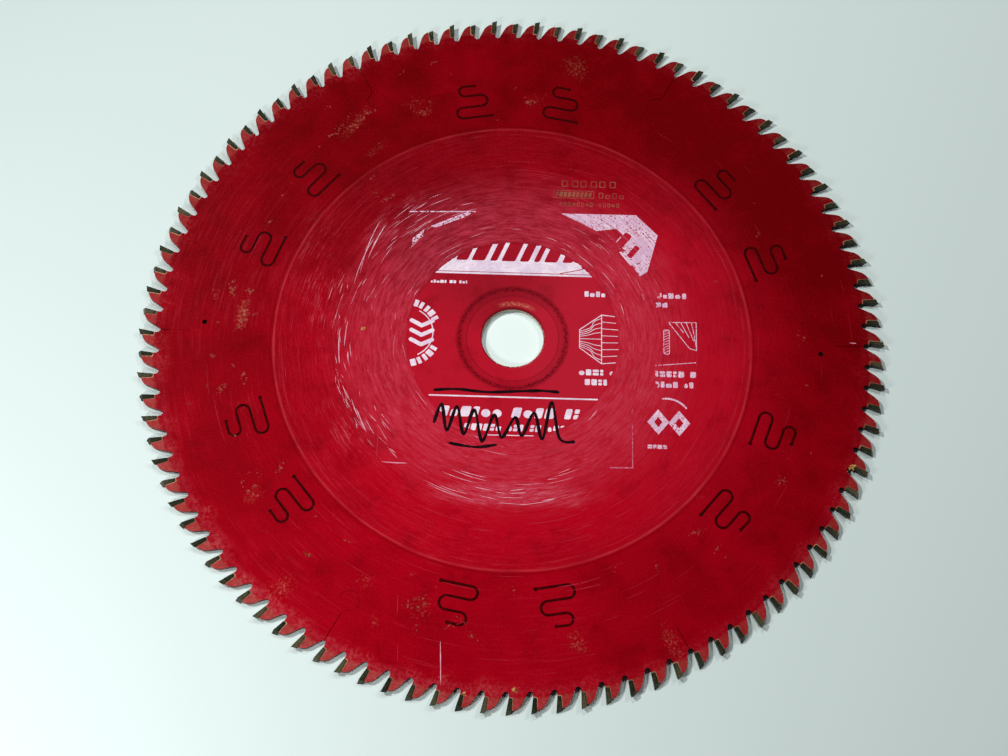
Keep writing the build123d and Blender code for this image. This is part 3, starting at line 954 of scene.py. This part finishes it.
# ---------------------------------------------- badge, two line drawings, rings
c = Canvas(-45, -18, -25, 18, 0.12)
bx, by = -43.5, 1.2
for k in range(-6, 7):
    a = math.radians(k * 11.5 + (6 if k >= 0 else -6))
    if abs(k) < 2:
        continue
    w = 1.55 if k % 3 else 2.3
    c.box(bx + 13.0 * math.cos(a), by + 13.6 * math.sin(a), 3.0, w, turn=math.degrees(a), soft=0.3)
c.arc(bx, by, 10.9, -62, 62, 0.45)
for k in range(3):
    c.line([(bx + 2.0, by + 5.4 - 4.2 * k), (bx + 6.2, by + 3.2 - 4.2 * k), (bx + 10.6, by + 5.4 - 4.2 * k)], 1.7)
c.keep(kept(c, 0.45, 65))
flat_piece("print_badge", c, white_ink)

# a board seen from its end, in plain lines
c = Canvas(26, -12, 46, 13, 0.10)
W = 0.36
c.line([(27.4, 4.6), (27.4, -3.4), (36.4, -10.2), (46, -9.2)], W)
c.line([(27.4, 4.6), (36.4, 11.4), (46, 10.4)], W)
c.line([(36.4, 11.4), (36.4, -10.2)], W)
for k in range(1, 7):
    t = k / 7
    c.line([(36.4, 11.4 - 21.6 * t), (46, 10.4 - 19.6 * t)], 0.26)
for q in (2.6, 4.4, 6.2, 8.0):
    c.line(smooth_path([(27.6, 0.6 + q * 0.42), (30.2 + q * 0.2, 0.6 + q * 0.62), (33.4, 0.6 + q * 0.98), (36.3, 0.6 + q * 1.15)], 4), 0.26)
    c.line(smooth_path([(27.6, 0.6 - q * 0.42), (30.2 + q * 0.2, 0.6 - q * 0.66), (33.4, 0.6 - q * 0.98), (36.3, 0.6 - q * 1.15)], 4), 0.26)
c.line([(27.6, 0.6), (36.3, 0.6)], 0.26)
c.keep(kept(c, 0.5, 75))
flat_piece("print_board_drawing", c, white_ink, least=0.03)

# a wedge with hatching
c = Canvas(60, -7, 78, 11, 0.11)
wedge = [(63.9, 9.0), (75.3, 9.2), (75.2, -3.2), (72.4, -2.4)]
c.line(wedge + [wedge[0]], 0.32)
for k in range(4):
    x = 66.8 + 2.2 * k
    c.line([(x, 8.9), (x + 3.2 if x + 3.2 < 75.2 else 75.2, 8.9 - (x - 62.4) * 0.98)], 0.30)
c.box(63.0, 0.2, 2.6, 11.0, soft=0.9)
c.box(63.0, 0.2, 2.0, 10.4, soft=0.7, cut=True)
for k in range(9):
    c.line([(62.0, -4.6 + 1.15 * k), (64.0, -3.6 + 1.15 * k)], 0.22)
c.keep(0.36 + rough_noise(c.X * 0.8, c.Y * 0.8, 81, 4) * 1.25 + (c.X - 64) * 0.05)
flat_piece("print_wedge_drawing", c, worn_ink, least=0.03)

# two fat lozenges under an arc
c = Canvas(52, -48, 74, -23, 0.13)
for x, y in ((59.2, -34.6), (67.6, -34.9)):
    c.polygon([(x - 4.4, y), (x, y + 5.4), (x + 4.4, y), (x, y - 5.4)])
    c.polygon([(x - 1.7, y), (x, y + 2.2), (x + 1.7, y), (x, y - 2.2)], cut=True)
c.arc(62.6, -34.5, 10.0, 38, 98, 0.75)
c.greek(54.8, 62.6, -45.1, 1.7, 91)
across = ring_noise(c.X, c.Y, 70, 1.6, 93, 3)
c.keep(0.55 + rough_noise(c.X * 0.9, c.Y * 0.9, 95, 4) * 1.0 + across * 0.9 + (c.Y + 38) * 0.04)
c.keep((77.0 - np.hypot(c.X, c.Y) * 0.93) * 0.2 + across * 0.6)
flat_piece("print_lozenges", c, worn_ink)

# what is left of the frame round the print
c = Canvas(36, -57, 52, -28, 0.14)
c.line([(48.8, -29), (48.8, -54.3)], 0.34)
c.line([(49.0, -54.2), (40.0, -54.4)], 0.5)
c.keep(0.16 + rough_noise(c.X * 0.7, c.Y * 0.7, 97, 4) * 0.9 - (c.Y + 46) * 0.012)
flat_piece("print_frame_corner", c, faint_ink)

# ------------------------------------------------ laser-etched marks, brownish
c = Canvas(12, 60, 48, 76, 0.12)
for k in range(6):
    c.box(20.6 + 4.0 * k + (k % 2) * 0.4, 71.9, 2.6, 3.0, soft=0.4)
    c.box(20.6 + 4.0 * k + (k % 2) * 0.4, 71.9, 1.8, 2.2, soft=0.3, cut=True)
for k in range(9):
    c.box(17.4 + 1.75 * k, 66.8, 1.35, 2.7, soft=0.25, slant=0.2)
    c.box(17.4 + 1.75 * k, 66.8, 0.7, 1.6, soft=0.2, slant=0.2, cut=(k % 2 == 0))
c.box(24.4, 66.8, 17.4, 3.7, soft=0.3)
c.box(24.4, 66.8, 16.9, 3.2, soft=0.25, cut=True)
for k in range(9):
    c.box(17.4 + 1.75 * k, 66.8, 1.3, 2.3, soft=0.25, slant=0.2)
for k in range(4):
    c.box(36.0 + 2.9 * k, 66.6 - (0.5 if k % 2 else 0), 1.9, 2.7 if k % 2 == 0 else 1.7, soft=0.5)
    c.box(36.0 + 2.9 * k, 66.6 - (0.5 if k % 2 else 0), 1.3, 2.1 if k % 2 == 0 else 1.1, soft=0.4, cut=True)
for k in range(14):
    if k != 8:
        c.box(19.0 + 1.85 * k, 62.1, 1.15, 1.9 if k % 3 else 1.3, soft=0.3)
        c.box(19.0 + 1.85 * k, 62.1, 0.6, 1.3 if k % 3 else 0.7, soft=0.2, cut=True)
c.keep(0.5 + rough_noise(c.X * 0.8, c.Y * 0.8, 99, 4) * 1.5)
flat_piece("etched_marks", c, etch_mat, least=0.03, high=TOP + 0.006)

# ------------------------------------------------------ a scribble in marker pen
c = Canvas(-35, -50, 29, -19, 0.13)
rng = np.random.RandomState(8)


def pen(points, width):
    pts = smooth_path(points, 8)
    n = len(pts)
    wobble = [width * (0.86 + 0.2 * math.sin(k * 0.7) * rng.uniform(0.5, 1) + 0.08 * rng.uniform(-1, 1)) for k in range(n)]
    wobble[0] *= 0.8
    wobble[-1] *= 0.75
    c.line(pts, width, taper=wobble)


pen([(-31.0, -23.6), (-22, -23.0), (-10, -23.9), (3, -23.2), (12, -22.7), (19.0, -23.1)], 1.4)
pen([(-30.6, -37.4), (-27.8, -29.6), (-25.4, -40.8), (-21.6, -30.4), (-18.6, -42.2), (-14.6, -31.6), (-11.2, -44.8), (-6.6, -33.6),
     (-3.4, -43.0), (1.8, -34.4), (4.6, -42.2), (9.4, -32.2), (12.8, -43.4), (16.4, -27.4), (19.6, -42.6), (25.5, -44.1)], 1.4)
pen([(-24.0, -46.0), (-14.0, -47.4), (-5.5, -46.2)], 1.35)
flat_piece("marker_scribble", c, marker, high=TOP + 0.024)

# -------------------------------------------------------- scratches in the face; the whitish ones, most on the left, carry painted glints
rng = np.random.RandomState(21)
fine = circular(rng, 34, 58, 78, 118, 176, (2, 8), (0.07, 0.22))
fine += circular(rng, 24, 66, 74, 172, 206, (2, 7), (0.08, 0.24))
fine += circular(rng, 22, 62, 74, 202, 228, (2, 7), (0.08, 0.24))
fine += circular(rng, 12, 60, 74, 106, 132, (4, 14), (0.10, 0.26))
fine += circular(rng, 22, 60, 71, 242, 292, (4, 16), (0.12, 0.32))
fine += circular(rng, 14, 55, 66, 20, 62, (3, 9), (0.05, 0.14))
fine += circular(rng, 12, 44.2, 50, 120, 330, (3, 12), (0.10, 0.24))
fine += circular(rng, 12, 44.0, 52, 10, 120, (3, 12), (0.10, 0.24))
for (x0, y0), (x1, y1), w in (((-56.3, 52.8), (-64.0, 26.9), 0.34), ((-54.3, 50.0), (-61.0, 33.9), 0.5), ((-58.8, 44.0), (-66.2, 22.0), 0.3),
                              ((-70.7, -0.4), (-69.9, -13.7), 0.5), ((-67.6, 5.7), (-68.4, -6.0), 0.3), ((-66.9, -7.9), (-66.4, -12.5), 0.5),
                              ((-61.9, -32.4), (-57.3, -42.3), 0.45), ((-64.2, -28.4), (-60.6, -37.0), 0.3), ((-57.9, -37.0), (-54.0, -43.6), 0.3),
                              ((-51.0, -54.6), (-40.5, -54.9), 0.5)):
    t = np.linspace(0, 1, 9)[:, None]
    p0, p1 = np.array((x0, y0)), np.array((x1, y1))
    line = p0 + (p1 - p0) * t
    bow = np.c_[-(p1 - p0)[1], (p1 - p0)[0]] * 0.0
    mid = (p0 + p1) / 2
    out = mid / (np.hypot(*mid) + 1e-9)
    sag = np.hypot(*(p1 - p0)) ** 2 / (8 * np.hypot(*mid)) * 0.9
    line = line + out * sag * (4 * t * (1 - t))
    fine.append((line, w))
slivers("scratch_glints_white", fine, scratch_and_glint_mat, seed=3)

dull = circular(rng, 40, 99, 142, 160, 300, (4, 22), (0.08, 0.2), 0.2)
dull += circular(rng, 20, 99, 140, -60, 60, (4, 14), (0.05, 0.11), 0.2)
dull += [([(-72.8 + 1.5 * k, -20.9 - 0.02 * k) for k in range(11)], 0.34), ([(-52.6 - 0.015 * k, -40.8 - k) for k in range(15)], 0.34),
         ([(-53.5 + 5.08 * k, -56.5 + 0.150 * k) for k in range(21)], 0.36)]
dull += circular(rng, 110, 60, 96, 0, 360, (5, 26), (0.08, 0.22), 0.15)
dull += [(smooth_path([(19.3, -103.2), (28, -101.6), (36.5, -98.7)], 3), 0.4), (smooth_path([(22, -104.8), (30, -103.3), (37.5, -101.2)], 3), 0.3)]
slivers("scratches_dull", dull, dull_scratch, seed=4)
slivers("scratch_long", [([(-24.6 + 0.047 * k, -125.1 - k) for k in range(0, 18)], 0.36), ([(138.0 + 0.6 * k, 2.2 - 0.02 * k) for k in range(0, 6)], 0.45)], scratch_and_glint_mat, seed=5)
slivers("scratch_faint", [([(-40.7 + 0.05 * k, -127.0 - k) for k in range(0, 9)], 0.22), ([(-41.6 + 0.02 * k, -108.0 - k) for k in range(0, 9)], 0.22)], dull_scratch, seed=6)

# ------------------------------------- what fills the vents and narrow cuts: a dark sheet in the vents as painted shade, paint in the cuts
def arc_points(a, b, c, n=14):
    """Points on the arc from a through b to c."""
    (ax, ay), (bx, by), (cx, cy) = a, b, c
    d = 2 * (ax * (by - cy) + bx * (cy - ay) + cx * (ay - by))
    ux = ((ax**2 + ay**2) * (by - cy) + (bx**2 + by**2) * (cy - ay) + (cx**2 + cy**2) * (ay - by)) / d
    uy = ((ax**2 + ay**2) * (cx - bx) + (bx**2 + by**2) * (ax - cx) + (cx**2 + cy**2) * (bx - ax)) / d
    r = math.hypot(ax - ux, ay - uy)
    t0, t1, t2 = (math.atan2(y - uy, x - ux) for x, y in (a, b, c))
    s1, s2 = (t1 - t0) % (2 * math.pi), (t2 - t0) % (2 * math.pi)
    s2 = s2 if s1 < s2 else s2 - 2 * math.pi
    return [(ux + r * math.cos(t0 + s2 * k / n), uy + r * math.sin(t0 + s2 * k / n)) for k in range(n + 1)]


def fill(name, path, width, ends, turns, low, high, mat):
    """A closed strip along the path, with a round bulb of the given radius at each end."""
    p = [path[0]]
    for q in path[1:]:
        gap = math.dist(p[-1], q)
        if gap < 1e-6:
            continue
        n = max(1, int(gap / 0.8))
        p += [(p[-1][0] + (q[0] - p[-1][0]) * k / n, p[-1][1] + (q[1] - p[-1][1]) * k / n) for k in range(1, n + 1)]
    pts = np.array(p)
    out = []
    for end, radius in zip((0, 1), ends):
        line = pts if end == 0 else pts[::-1]
        d = (line[1] - line[0]) / np.hypot(*(line[1] - line[0]))
        cap = [(line[0] + d * t * radius, math.sqrt(max(radius**2 * (1 - t * t), 0.0016))) for t in (-0.999, -0.92, -0.75, -0.5, -0.2, 0.15)]
        cap += [(line[0] + d * t * radius, max(radius * math.sqrt(1 - t * t), width / 2)) for t in (0.5, 0.75)]
        out.append((cap, radius * 0.95))
    (head, a), (tail, b) = out
    run = np.r_[0, np.cumsum(np.hypot(*np.diff(pts, axis=0).T))]
    body = [(q, width / 2) for q, s in zip(pts, run) if a < s < run[-1] - b]
    rows = head + body + tail[::-1]
    mid = np.array([q for q, _ in rows])
    half = np.array([h for _, h in rows])
    d = np.gradient(mid, axis=0)
    d /= np.hypot(*d.T)[:, None] + 1e-9
    side = np.c_[-d[:, 1], d[:, 0]] * half[:, None]
    verts, faces, n = [], [], len(mid)
    for turn in turns:
        t, k = math.radians(turn), len(verts)
        rot = np.array(((math.cos(t), math.sin(t)), (-math.sin(t), math.cos(t))))
        for s, z in ((1, high), (-1, high), (-1, low), (1, low)):
            verts += [(x, y, z) for x, y in (mid + side * s) @ rot]
        for i in range(n - 1):
            for q in range(4):
                a0, b0 = k + q * n + i, k + (q + 1) % 4 * n + i
                faces.append((a0, b0, b0 + 1, a0 + 1))
        faces.append((k, k + 3 * n, k + 2 * n, k + n))
        faces.append((k + n - 1, k + 2 * n - 1, k + 3 * n - 1, k + 4 * n - 1))
    return piece(name, verts, faces, mat)


def mottled_fill_material(name, light, dark):
    mat, g, bsdf = material(name)
    p, x, y, z, r, u, v, ring = fields(g)
    cloud = g.noise(g.vscale(p, 0.5), 1.0, 4.0, 0.65)
    fleck = g.noise(g.vscale(p, 2.4), 1.0, 3.0, 0.7)
    colour = g.mix(g.step(cloud * 0.6 + fleck * 0.5, 0.40, 0.70), linear(*dark), linear(*light))
    g.put(bsdf.inputs["Base Color"], colour)
    g.put(bsdf.inputs["Roughness"], (0.7 + (fleck - 0.5) * 0.3).sat())
    bsdf.inputs["Specular IOR Level"].default_value = 0.1
    g.put(bsdf.inputs["Normal"], g.bump(cloud * 0.5 + fleck * 0.6, 0.08, 0.8))
    return mat


vent_path = [(1.5, 120.1), (-2.9, 120.3)] + arc_points((-2.9, 120.3), (-5.35, 117.85), (-2.9, 115.4)) + [(3.45, 115.4)]
vent_path += arc_points((3.45, 115.4), (6.2, 112.65), (3.45, 109.9)) + [(-5.05, 109.9)]
vent_path += arc_points((-5.05, 109.9), (-7.7, 107.25), (-5.05, 104.6)) + [(7.1, 104.6)]
# a dark sheet down in each vent: painted shade of the narrow slot
vent_shade_fill = mottled_fill_material("vent_shade_fill", (74, 4, 6), (38, 2, 3))
fill("vent_shade_fill", vent_path, 1.03, (0.71, 0.81), [10 + 60 * k for k in range(6)] + [-10 + 60 * k for k in range(6)], -0.7, TOP - 0.16, vent_shade_fill)

loop = [(-3.294 + 3.294 * math.cos(math.radians(a)), 132.3 + 3.294 * math.sin(math.radians(a))) for a in range(-6, -67, -6)]
loop += [(-0.8045 + 3.295 * math.cos(math.radians(a)), 126.199 + 3.295 * math.sin(math.radians(a))) for a in range(114, 180, 6)]
loop += arc_points((-4.1, 126.2), (-0.05, 122.05), (3.8, 126.0), 22)
cut_turns = {j: 0.287 - 3.6 * j for j in (8, 25, 42, 58, 75, 92)}
# most of the paint in the cuts is darker than the coating, the closed pair darkest: painted shade along the filled
# groove
cut_paint_shaded = mottled_fill_material("cut_paint_shaded", (104, 2, 8), (66, 1, 5))
thick_paint = mottled_fill_material("thick_paint", (158, 1, 18), (128, 0, 10))
stem = [(0.0, 139.4), (0.0, 137.0), (0.0, 134.6), (0.0, 133.0)]
fill("cut_paint_closed", loop[19:], 0.22, (0.11, 0.27), [cut_turns[j] for j in (8, 92)], 0.2, TOP - 0.06, cut_paint_shaded)
fill("cut_paint_low_left", loop, 0.22, (0.11, 0.27), [cut_turns[58]], 0.2, TOP - 0.04, mottled_fill_material("low_left_paint", (134, 2, 16), (98, 1, 9)))
fill("cut_paint_low_right", stem[2:] + loop, 0.22, (0.11, 0.27), [cut_turns[42]], 0.2, TOP - 0.02, thick_paint)
fill("cut_paint_right", loop[:-2], 0.22, (0.11, 0.11), [cut_turns[25]], 0.2, TOP - 0.04, mottled_fill_material("right_paint", (124, 2, 14), (92, 1, 8)))
fill("cut_paint_left", stem + loop[:-2], 0.22, (0.11, 0.11), [cut_turns[75]], 0.2, TOP - 0.02, thick_paint)
# a near-black plug in each of the two open end holes, which show black
gum = mottled_fill_material("hole_dark_plug", (40, 14, 10), (16, 8, 6))
for k, tooth in enumerate((25, 75)):
    t = math.radians(cut_turns[tooth])
    hx, hy = 3.8 * math.cos(t) - 126.0 * math.sin(t), 3.8 * math.sin(t) + 126.0 * math.cos(t)
    c = Canvas(hx - 1.4, hy - 1.4, hx + 1.4, hy + 1.4, 0.1)
    c.disc(hx, hy, 0.985)
    dip = -0.25 - 0.5 * (0.97 - np.hypot(c.X - hx, c.Y - hy)) + rough_noise(c.X * 1.5, c.Y * 1.5, 140 + k) * 0.3
    crust_piece(f"hole_dark_plug_{k + 1}", c, np.maximum(dip + 1.2, 0.1), gum, base=-0.8)

# --------------------------------------------------- wood resin stuck to the face
def crust(name, x, y, rx, ry, turn, cover, size, tall, mat, seed, cell=0.2, hollow=0.0, base=TOP):
    reach = max(rx, ry) * 1.15 + 1
    c = Canvas(x - reach, y - reach, x + reach, y + reach, cell)
    a = math.radians(turn)
    px = (c.X - x) * math.cos(a) + (c.Y - y) * math.sin(a)
    py = -(c.X - x) * math.sin(a) + (c.Y - y) * math.cos(a)
    d = np.hypot(px / rx, py / ry)
    if hollow:
        d = np.abs(d - (1 - hollow)) / hollow
    size *= 0.42
    n = rough_noise(px / size, py / size, seed, 4, 0.66)
    c.F = cover + n * 2.6 - 0.9 * d**2 * (1 + cover)
    c.keep((1.15 - np.hypot(px / rx, py / ry)) * 2)
    height = np.clip(c.F * 0.55, 0, 1) ** 0.6 * tall * (0.55 + 0.9 * (rough_noise(px / size * 2.2, py / size * 2.2, seed + 50, 3) + 0.5))
    if (c.F > 0).sum() < 6:
        return None
    return crust_piece(name, c, height, mat, base=base)


CRUSTS = [
    # x, y, half length, half width, turn, cover, grain, height, material, hollow
    (-110.2, 7.5, 9.5, 3.6, 84, 0.10, 2.0, 0.16, "tan", 0), (-105.8, 7.1, 2.0, 1.0, 30, 0.2, 1.2, 0.16, "tan", 0),
    (-115.5, 18.0, 6.0, 3.6, 100, 0.02, 2.0, 0.14, "tan", 0), (-108.8, 17.2, 3.4, 2.8, 60, 0.14, 1.8, 0.14, "tan", 0),
    (-120.6, 3.6, 1.8, 1.2, 60, 0.2, 1.2, 0.14, "tan", 0), (-124.0, 17.5, 1.4, 0.9, 40, 0.2, 1.2, 0.12, "tan", 0),
    (-61.2, 2.3, 1.5, 1.3, 20, 0.55, 1.2, 0.30, "gold", 0),
    (-121.3, -11.5, 2.0, 1.4, 0, 0.20, 1.0, 0.12, "tan", 0), (-112.8, -15.4, 2.4, 0.7, -50, 0.3, 1.0, 0.16, "tan", 0),
    (-116.4, -25.4, 4.2, 2.0, 55, 0.10, 1.5, 0.14, "tan", 0.0), (-107.9, -21.0, 3.2, 1.5, 100, 0.12, 1.3, 0.14, "tan", 0.35),
    (-122.3, -23.6, 2.6, 0.7, 80, 0.0, 1.0, 0.12, "tan", 0), (-128.0, -32.6, 3.6, 2.6, 50, -0.28, 1.0, 0.12, "tan", 0),
    (-136.6, -35.2, 2.6, 1.4, 20, -0.2, 1.0, 0.12, "tan", 0), (-109.5, -45.6, 4.0, 0.9, 0, 0.0, 1.3, 0.14, "tan", 0),
    (-101.6, -64.2, 6.4, 4.6, 60, -0.28, 1.6, 0.12, "tan", 0.3), (-90.4, -58.0, 5.2, 1.8, 70, -0.1, 1.4, 0.14, "tan", 0),
    (-77.5, -93.4, 3.8, 1.9, 0, 0.0, 1.4, 0.22, "dark", 0), (-77.2, -93.0, 3.0, 1.6, 0, -0.22, 1.0, 0.26, "gold", 0),
    (-61.9, -87.3, 4.2, 1.2, -10, -0.14, 1.1, 0.12, "tan", 0), (-99.6, -66.2, 1.8, 1.2, 0, 0.0, 1.0, 0.12, "tan", 0),
    (-94.2, -84.6, 1.2, 0.6, 30, 0.1, 1.0, 0.10, "tan", 0), (-75.2, -77.8, 1.6, 0.6, 20, 0.1, 1.0, 0.10, "tan", 0),
    (-34.4, -111.0, 5.8, 2.6, 10, -0.14, 1.6, 0.12, "tan", 0.35), (-34.2, -120.6, 4.4, 1.3, 80, 0.0, 1.5, 0.12, "tan", 0),
    (-20.5, -119.6, 5.0, 2.8, 20, -0.10, 1.5, 0.12, "tan", 0), (-12.4, -123.2, 6.4, 1.6, -38, -0.10, 1.4, 0.12, "tan", 0),
    (-17.4, -116.8, 3.8, 2.0, -50, -0.2, 1.2, 0.12, "tan", 0), (-26.9, -104.0, 2.6, 1.4, 80, -0.1, 1.2, 0.10, "tan", 0),
    (-36.2, -99.6, 3.0, 1.6, 10, -0.2, 1.0, 0.12, "tan", 0), (2.0, -108.0, 3.2, 3.0, 0, -0.24, 1.0, 0.14, "tan", 0),
    (3.2, -104.6, 1.0, 1.6, 0, 0.0, 1.0, 0.12, "tan", 0), (-1.5, -119.2, 2.0, 0.7, -10, 0.0, 1.0, 0.10, "tan", 0),
    (28.6, -126.0, 8.6, 4.4, -48, -0.24, 1.5, 0.10, "tan", 0), (4.2, -143.0, 2.1, 1.6, 40, 0.45, 1.3, 0.42, "gold", 0),
    (-15.1, -145.2, 1.8, 1.4, 60, 0.2, 1.2, 0.30, "gold", 0), (41.4, -96.2, 2.4, 3.6, 0, -0.12, 1.0, 0.10, "tan", 0),
    (57.8, -94.6, 0.9, 4.4, 8, 0.14, 1.3, 0.12, "tan", 0), (61.8, -121.6, 10.0, 3.6, 108, -0.30, 1.6, 0.12, "tan", 0),
    (73.8, -80.0, 6.6, 2.2, 28, -0.12, 1.2, 0.10, "tan", 0), (81.4, -86.4, 4.4, 0.8, 52, 0.02, 1.2, 0.10, "tan", 0),
    (84.7, -89.6, 1.0, 0.6, 40, 0.3, 1.0, 0.12, "tan", 0), (65.0, -88.9, 2.6, 1.0, 10, -0.2, 1.0, 0.10, "tan", 0),
    (107.8, -57.6, 5.6, 4.2, 70, -0.14, 1.1, 0.10, "tan", 0), (119.6, 3.7, 1.8, 1.3, 60, 0.0, 1.0, 0.12, "tan", 0),
    (119.6, -16.8, 3.6, 1.9, 0, -0.3, 1.0, 0.10, "tan", 0), (108.0, -21.2, 1.6, 0.8, 0, -0.1, 1.0, 0.10, "tan", 0),
    (120.0, -46.2, 0.8, 2.2, 0, 0.0, 1.0, 0.10, "tan", 0), (136.2, -51.6, 3.2, 1.7, 24, 0.32, 1.5, 0.55, "gold", 0),
    (83.9, 28.0, 1.6, 1.6, 0, 0.08, 1.0, 0.12, "tan", 0), (101.0, 65.2, 5.0, 0.8, 0, -0.14, 1.1, 0.08, "tan", 0),
    (102.2, 50.8, 3.6, 1.3, 60, -0.10, 1.1, 0.08, "tan", 0), (128.1, 32.1, 0.8, 0.7, 0, 0.4, 1.0, 0.16, "tan", 0),
    (25.6, 131.2, 10.5, 6.6, 50, -0.40, 1.6, 0.10, "dark", 0), (24.2, 134.6, 7.0, 4.4, 40, -0.44, 1.0, 0.10, "tan", 0),
    (5.0, 111.4, 4.8, 1.2, 8, 0.06, 1.6, 0.20, "tan", 0), (11.2, 114.6, 3.0, 1.0, 60, -0.1, 1.3, 0.14, "tan", 0),
    (-1.4, 117.9, 2.4, 0.8, 60, -0.05, 1.2, 0.12, "tan", 0), (-41.6, 107.0, 6.2, 5.6, 0, -0.30, 1.2, 0.12, "tan", 0.3),
    (-40.6, 104.2, 4.4, 2.0, -10, -0.02, 1.4, 0.16, "tan", 0), (-38.2, 129.2, 4.2, 1.7, 35, -0.10, 1.4, 0.16, "tan", 0),
    (-29.4, 124.6, 1.0, 0.9, 0, 0.2, 1.0, 0.12, "tan", 0), (-51.0, 124.4, 4.0, 2.6, 30, -0.34, 1.1, 0.10, "tan", 0),
    (-75.6, 96.4, 11.0, 3.4, 58, -0.22, 1.6, 0.12, "tan", 0), (-79.8, 91.9, 5.0, 1.1, 35, 0.02, 1.4, 0.18, "tan", 0),
    (-84.7, 86.2, 1.5, 0.8, 80, 0.2, 1.0, 0.14, "tan", 0), (-82.4, 105.6, 2.8, 1.2, 20, 0.0, 1.3, 0.14, "tan", 0),
    (-64.2, 103.6, 3.0, 1.2, 10, 0.0, 1.3, 0.14, "tan", 0), (-93.6, 105.2, 1.6, 1.1, 20, 0.0, 1.0, 0.12, "tan", 0),
    (-65.4, 105.8, 5.0, 2.4, 50, -0.30, 1.2, 0.10, "tan", 0), (-102.9, 49.6, 2.0, 0.8, 40, 0.22, 1.1, 0.20, "tan", 0),
    (-95.0, 69.0, 2.8, 1.0, 50, -0.05, 1.2, 0.12, "tan", 0), (-98.4, 62.6, 3.6, 1.0, 50, -0.16, 1.2, 0.10, "tan", 0),
    (-54.6, 61.9, 3.6, 1.4, 25, -0.02, 1.4, 0.16, "tan", 0), (-52.0, 64.0, 1.2, 0.8, -40, 0.4, 1.0, 0.26, "tan", 0),
    (-60.8, 72.4, 5.6, 2.0, 30, -0.26, 1.4, 0.10, "tan", 0), (-62.0, 105.0, 2.0, 1.0, 80, -0.1, 1.0, 0.10, "tan", 0),
    (-9.0, 101.8, 2.6, 0.7, -10, -0.1, 1.2, 0.08, "tan", 0), (-0.6, 72.0, 4.2, 0.5, -66, 0.02, 1.4, 0.08, "tan", 0),
    (-65.2, 104.0, 1.6, 1.0, 0, 0.1, 1.0, 0.14, "tan", 0),
]
kinds = {"tan": tan_resin, "dark": dark_resin, "gold": gold_resin}
for k, (x, y, rx, ry, turn, cover, size, tall, kind, hollow) in enumerate(CRUSTS):
    on_tip = math.hypot(x, y) > 146.0
    crust(f"resin_{k + 1:02d}", x, y, rx, ry, turn, cover, size, tall, kinds[kind], 300 + 7 * k, hollow=hollow,
          cell=0.2 if max(rx, ry) < 7 else 0.24, base=TOP)

# ------------------------------------------------------------- floor and light
floor_mesh = bpy.data.meshes.new("floor")
w = 3.0
floor_mesh.from_pydata([(-w, -w, FLOOR), (w, -w, FLOOR), (w, w, FLOOR), (-w, w, FLOOR)], [], [(0, 1, 2, 3)])
floor = bpy.data.objects.new("floor", floor_mesh)
bpy.context.scene.collection.objects.link(floor)
fmat = bpy.data.materials.new("floor")
fmat.use_nodes = True
fb = fmat.node_tree.nodes["Principled BSDF"]
fg = G(fmat.node_tree)
fp, fx, fy, fz, fr, fu, fv, fring = fields(fg)
# lighter inside the bore: a painted pool of light
floor_tone_painted_light = fg.mix(fg.step(fr, 17.0, 13.5), (0.68, 0.79, 0.77, 1), (0.86, 0.98, 0.95, 1))
# darker towards the upper left: painted shade
floor_tone_painted_light = fg.mix(fg.step(fx, -20.0, -420.0) * fg.step(fy, -60.0, 340.0), floor_tone_painted_light, (0.40, 0.50, 0.51, 1))
fg.put(fb.inputs["Base Color"], floor_tone_painted_light)
fb.inputs["Roughness"].default_value = 0.75
fb.inputs["Specular IOR Level"].default_value = 0.2
floor_mesh.materials.append(fmat)


def area(name, at, target, size, watts, colour, glossy=True, diffuse=True):
    data = bpy.data.lights.new(name, "AREA")
    data.shape = "DISK"
    data.size = size
    data.energy = watts
    data.color = colour
    o = bpy.data.objects.new(name, data)
    bpy.context.scene.collection.objects.link(o)
    o.location = at
    o.rotation_euler = (Vector(target) - Vector(at)).to_track_quat("-Z", "Y").to_euler()
    o.visible_camera = False
    o.visible_glossy = glossy
    o.visible_diffuse = diffuse
    return o


area("key", (-0.76, 0.20, 0.90), (0, 0, 0), 0.12, 8.6, (1.0, 1.0, 0.985), glossy=False)
area("right", (0.70, 0.42, 0.86), (0, 0, 0), 0.16, 2.7, (1.0, 0.99, 0.98), glossy=False)
area("far", (-0.08, 0.47, 0.76), (0, 0, 0), 0.12, 1.75, (1.0, 1.0, 1.0), glossy=False)
area("low_left", (-0.29, -0.32, 0.25), (-0.07, -0.08, 0), 0.10, 0.82, (1.0, 1.0, 1.0), glossy=False)
area("sheen", (-0.95, 0.55, 0.80), (0, 0, 0), 0.45, 5.0, (1.0, 0.98, 0.97), diffuse=False)
world = bpy.data.worlds.new("studio")
bpy.context.scene.world = world
world.use_nodes = True
world.node_tree.nodes["Background"].inputs[0].default_value = (0.90, 0.97, 1.0, 1)
world.node_tree.nodes["Background"].inputs[1].default_value = 0.025
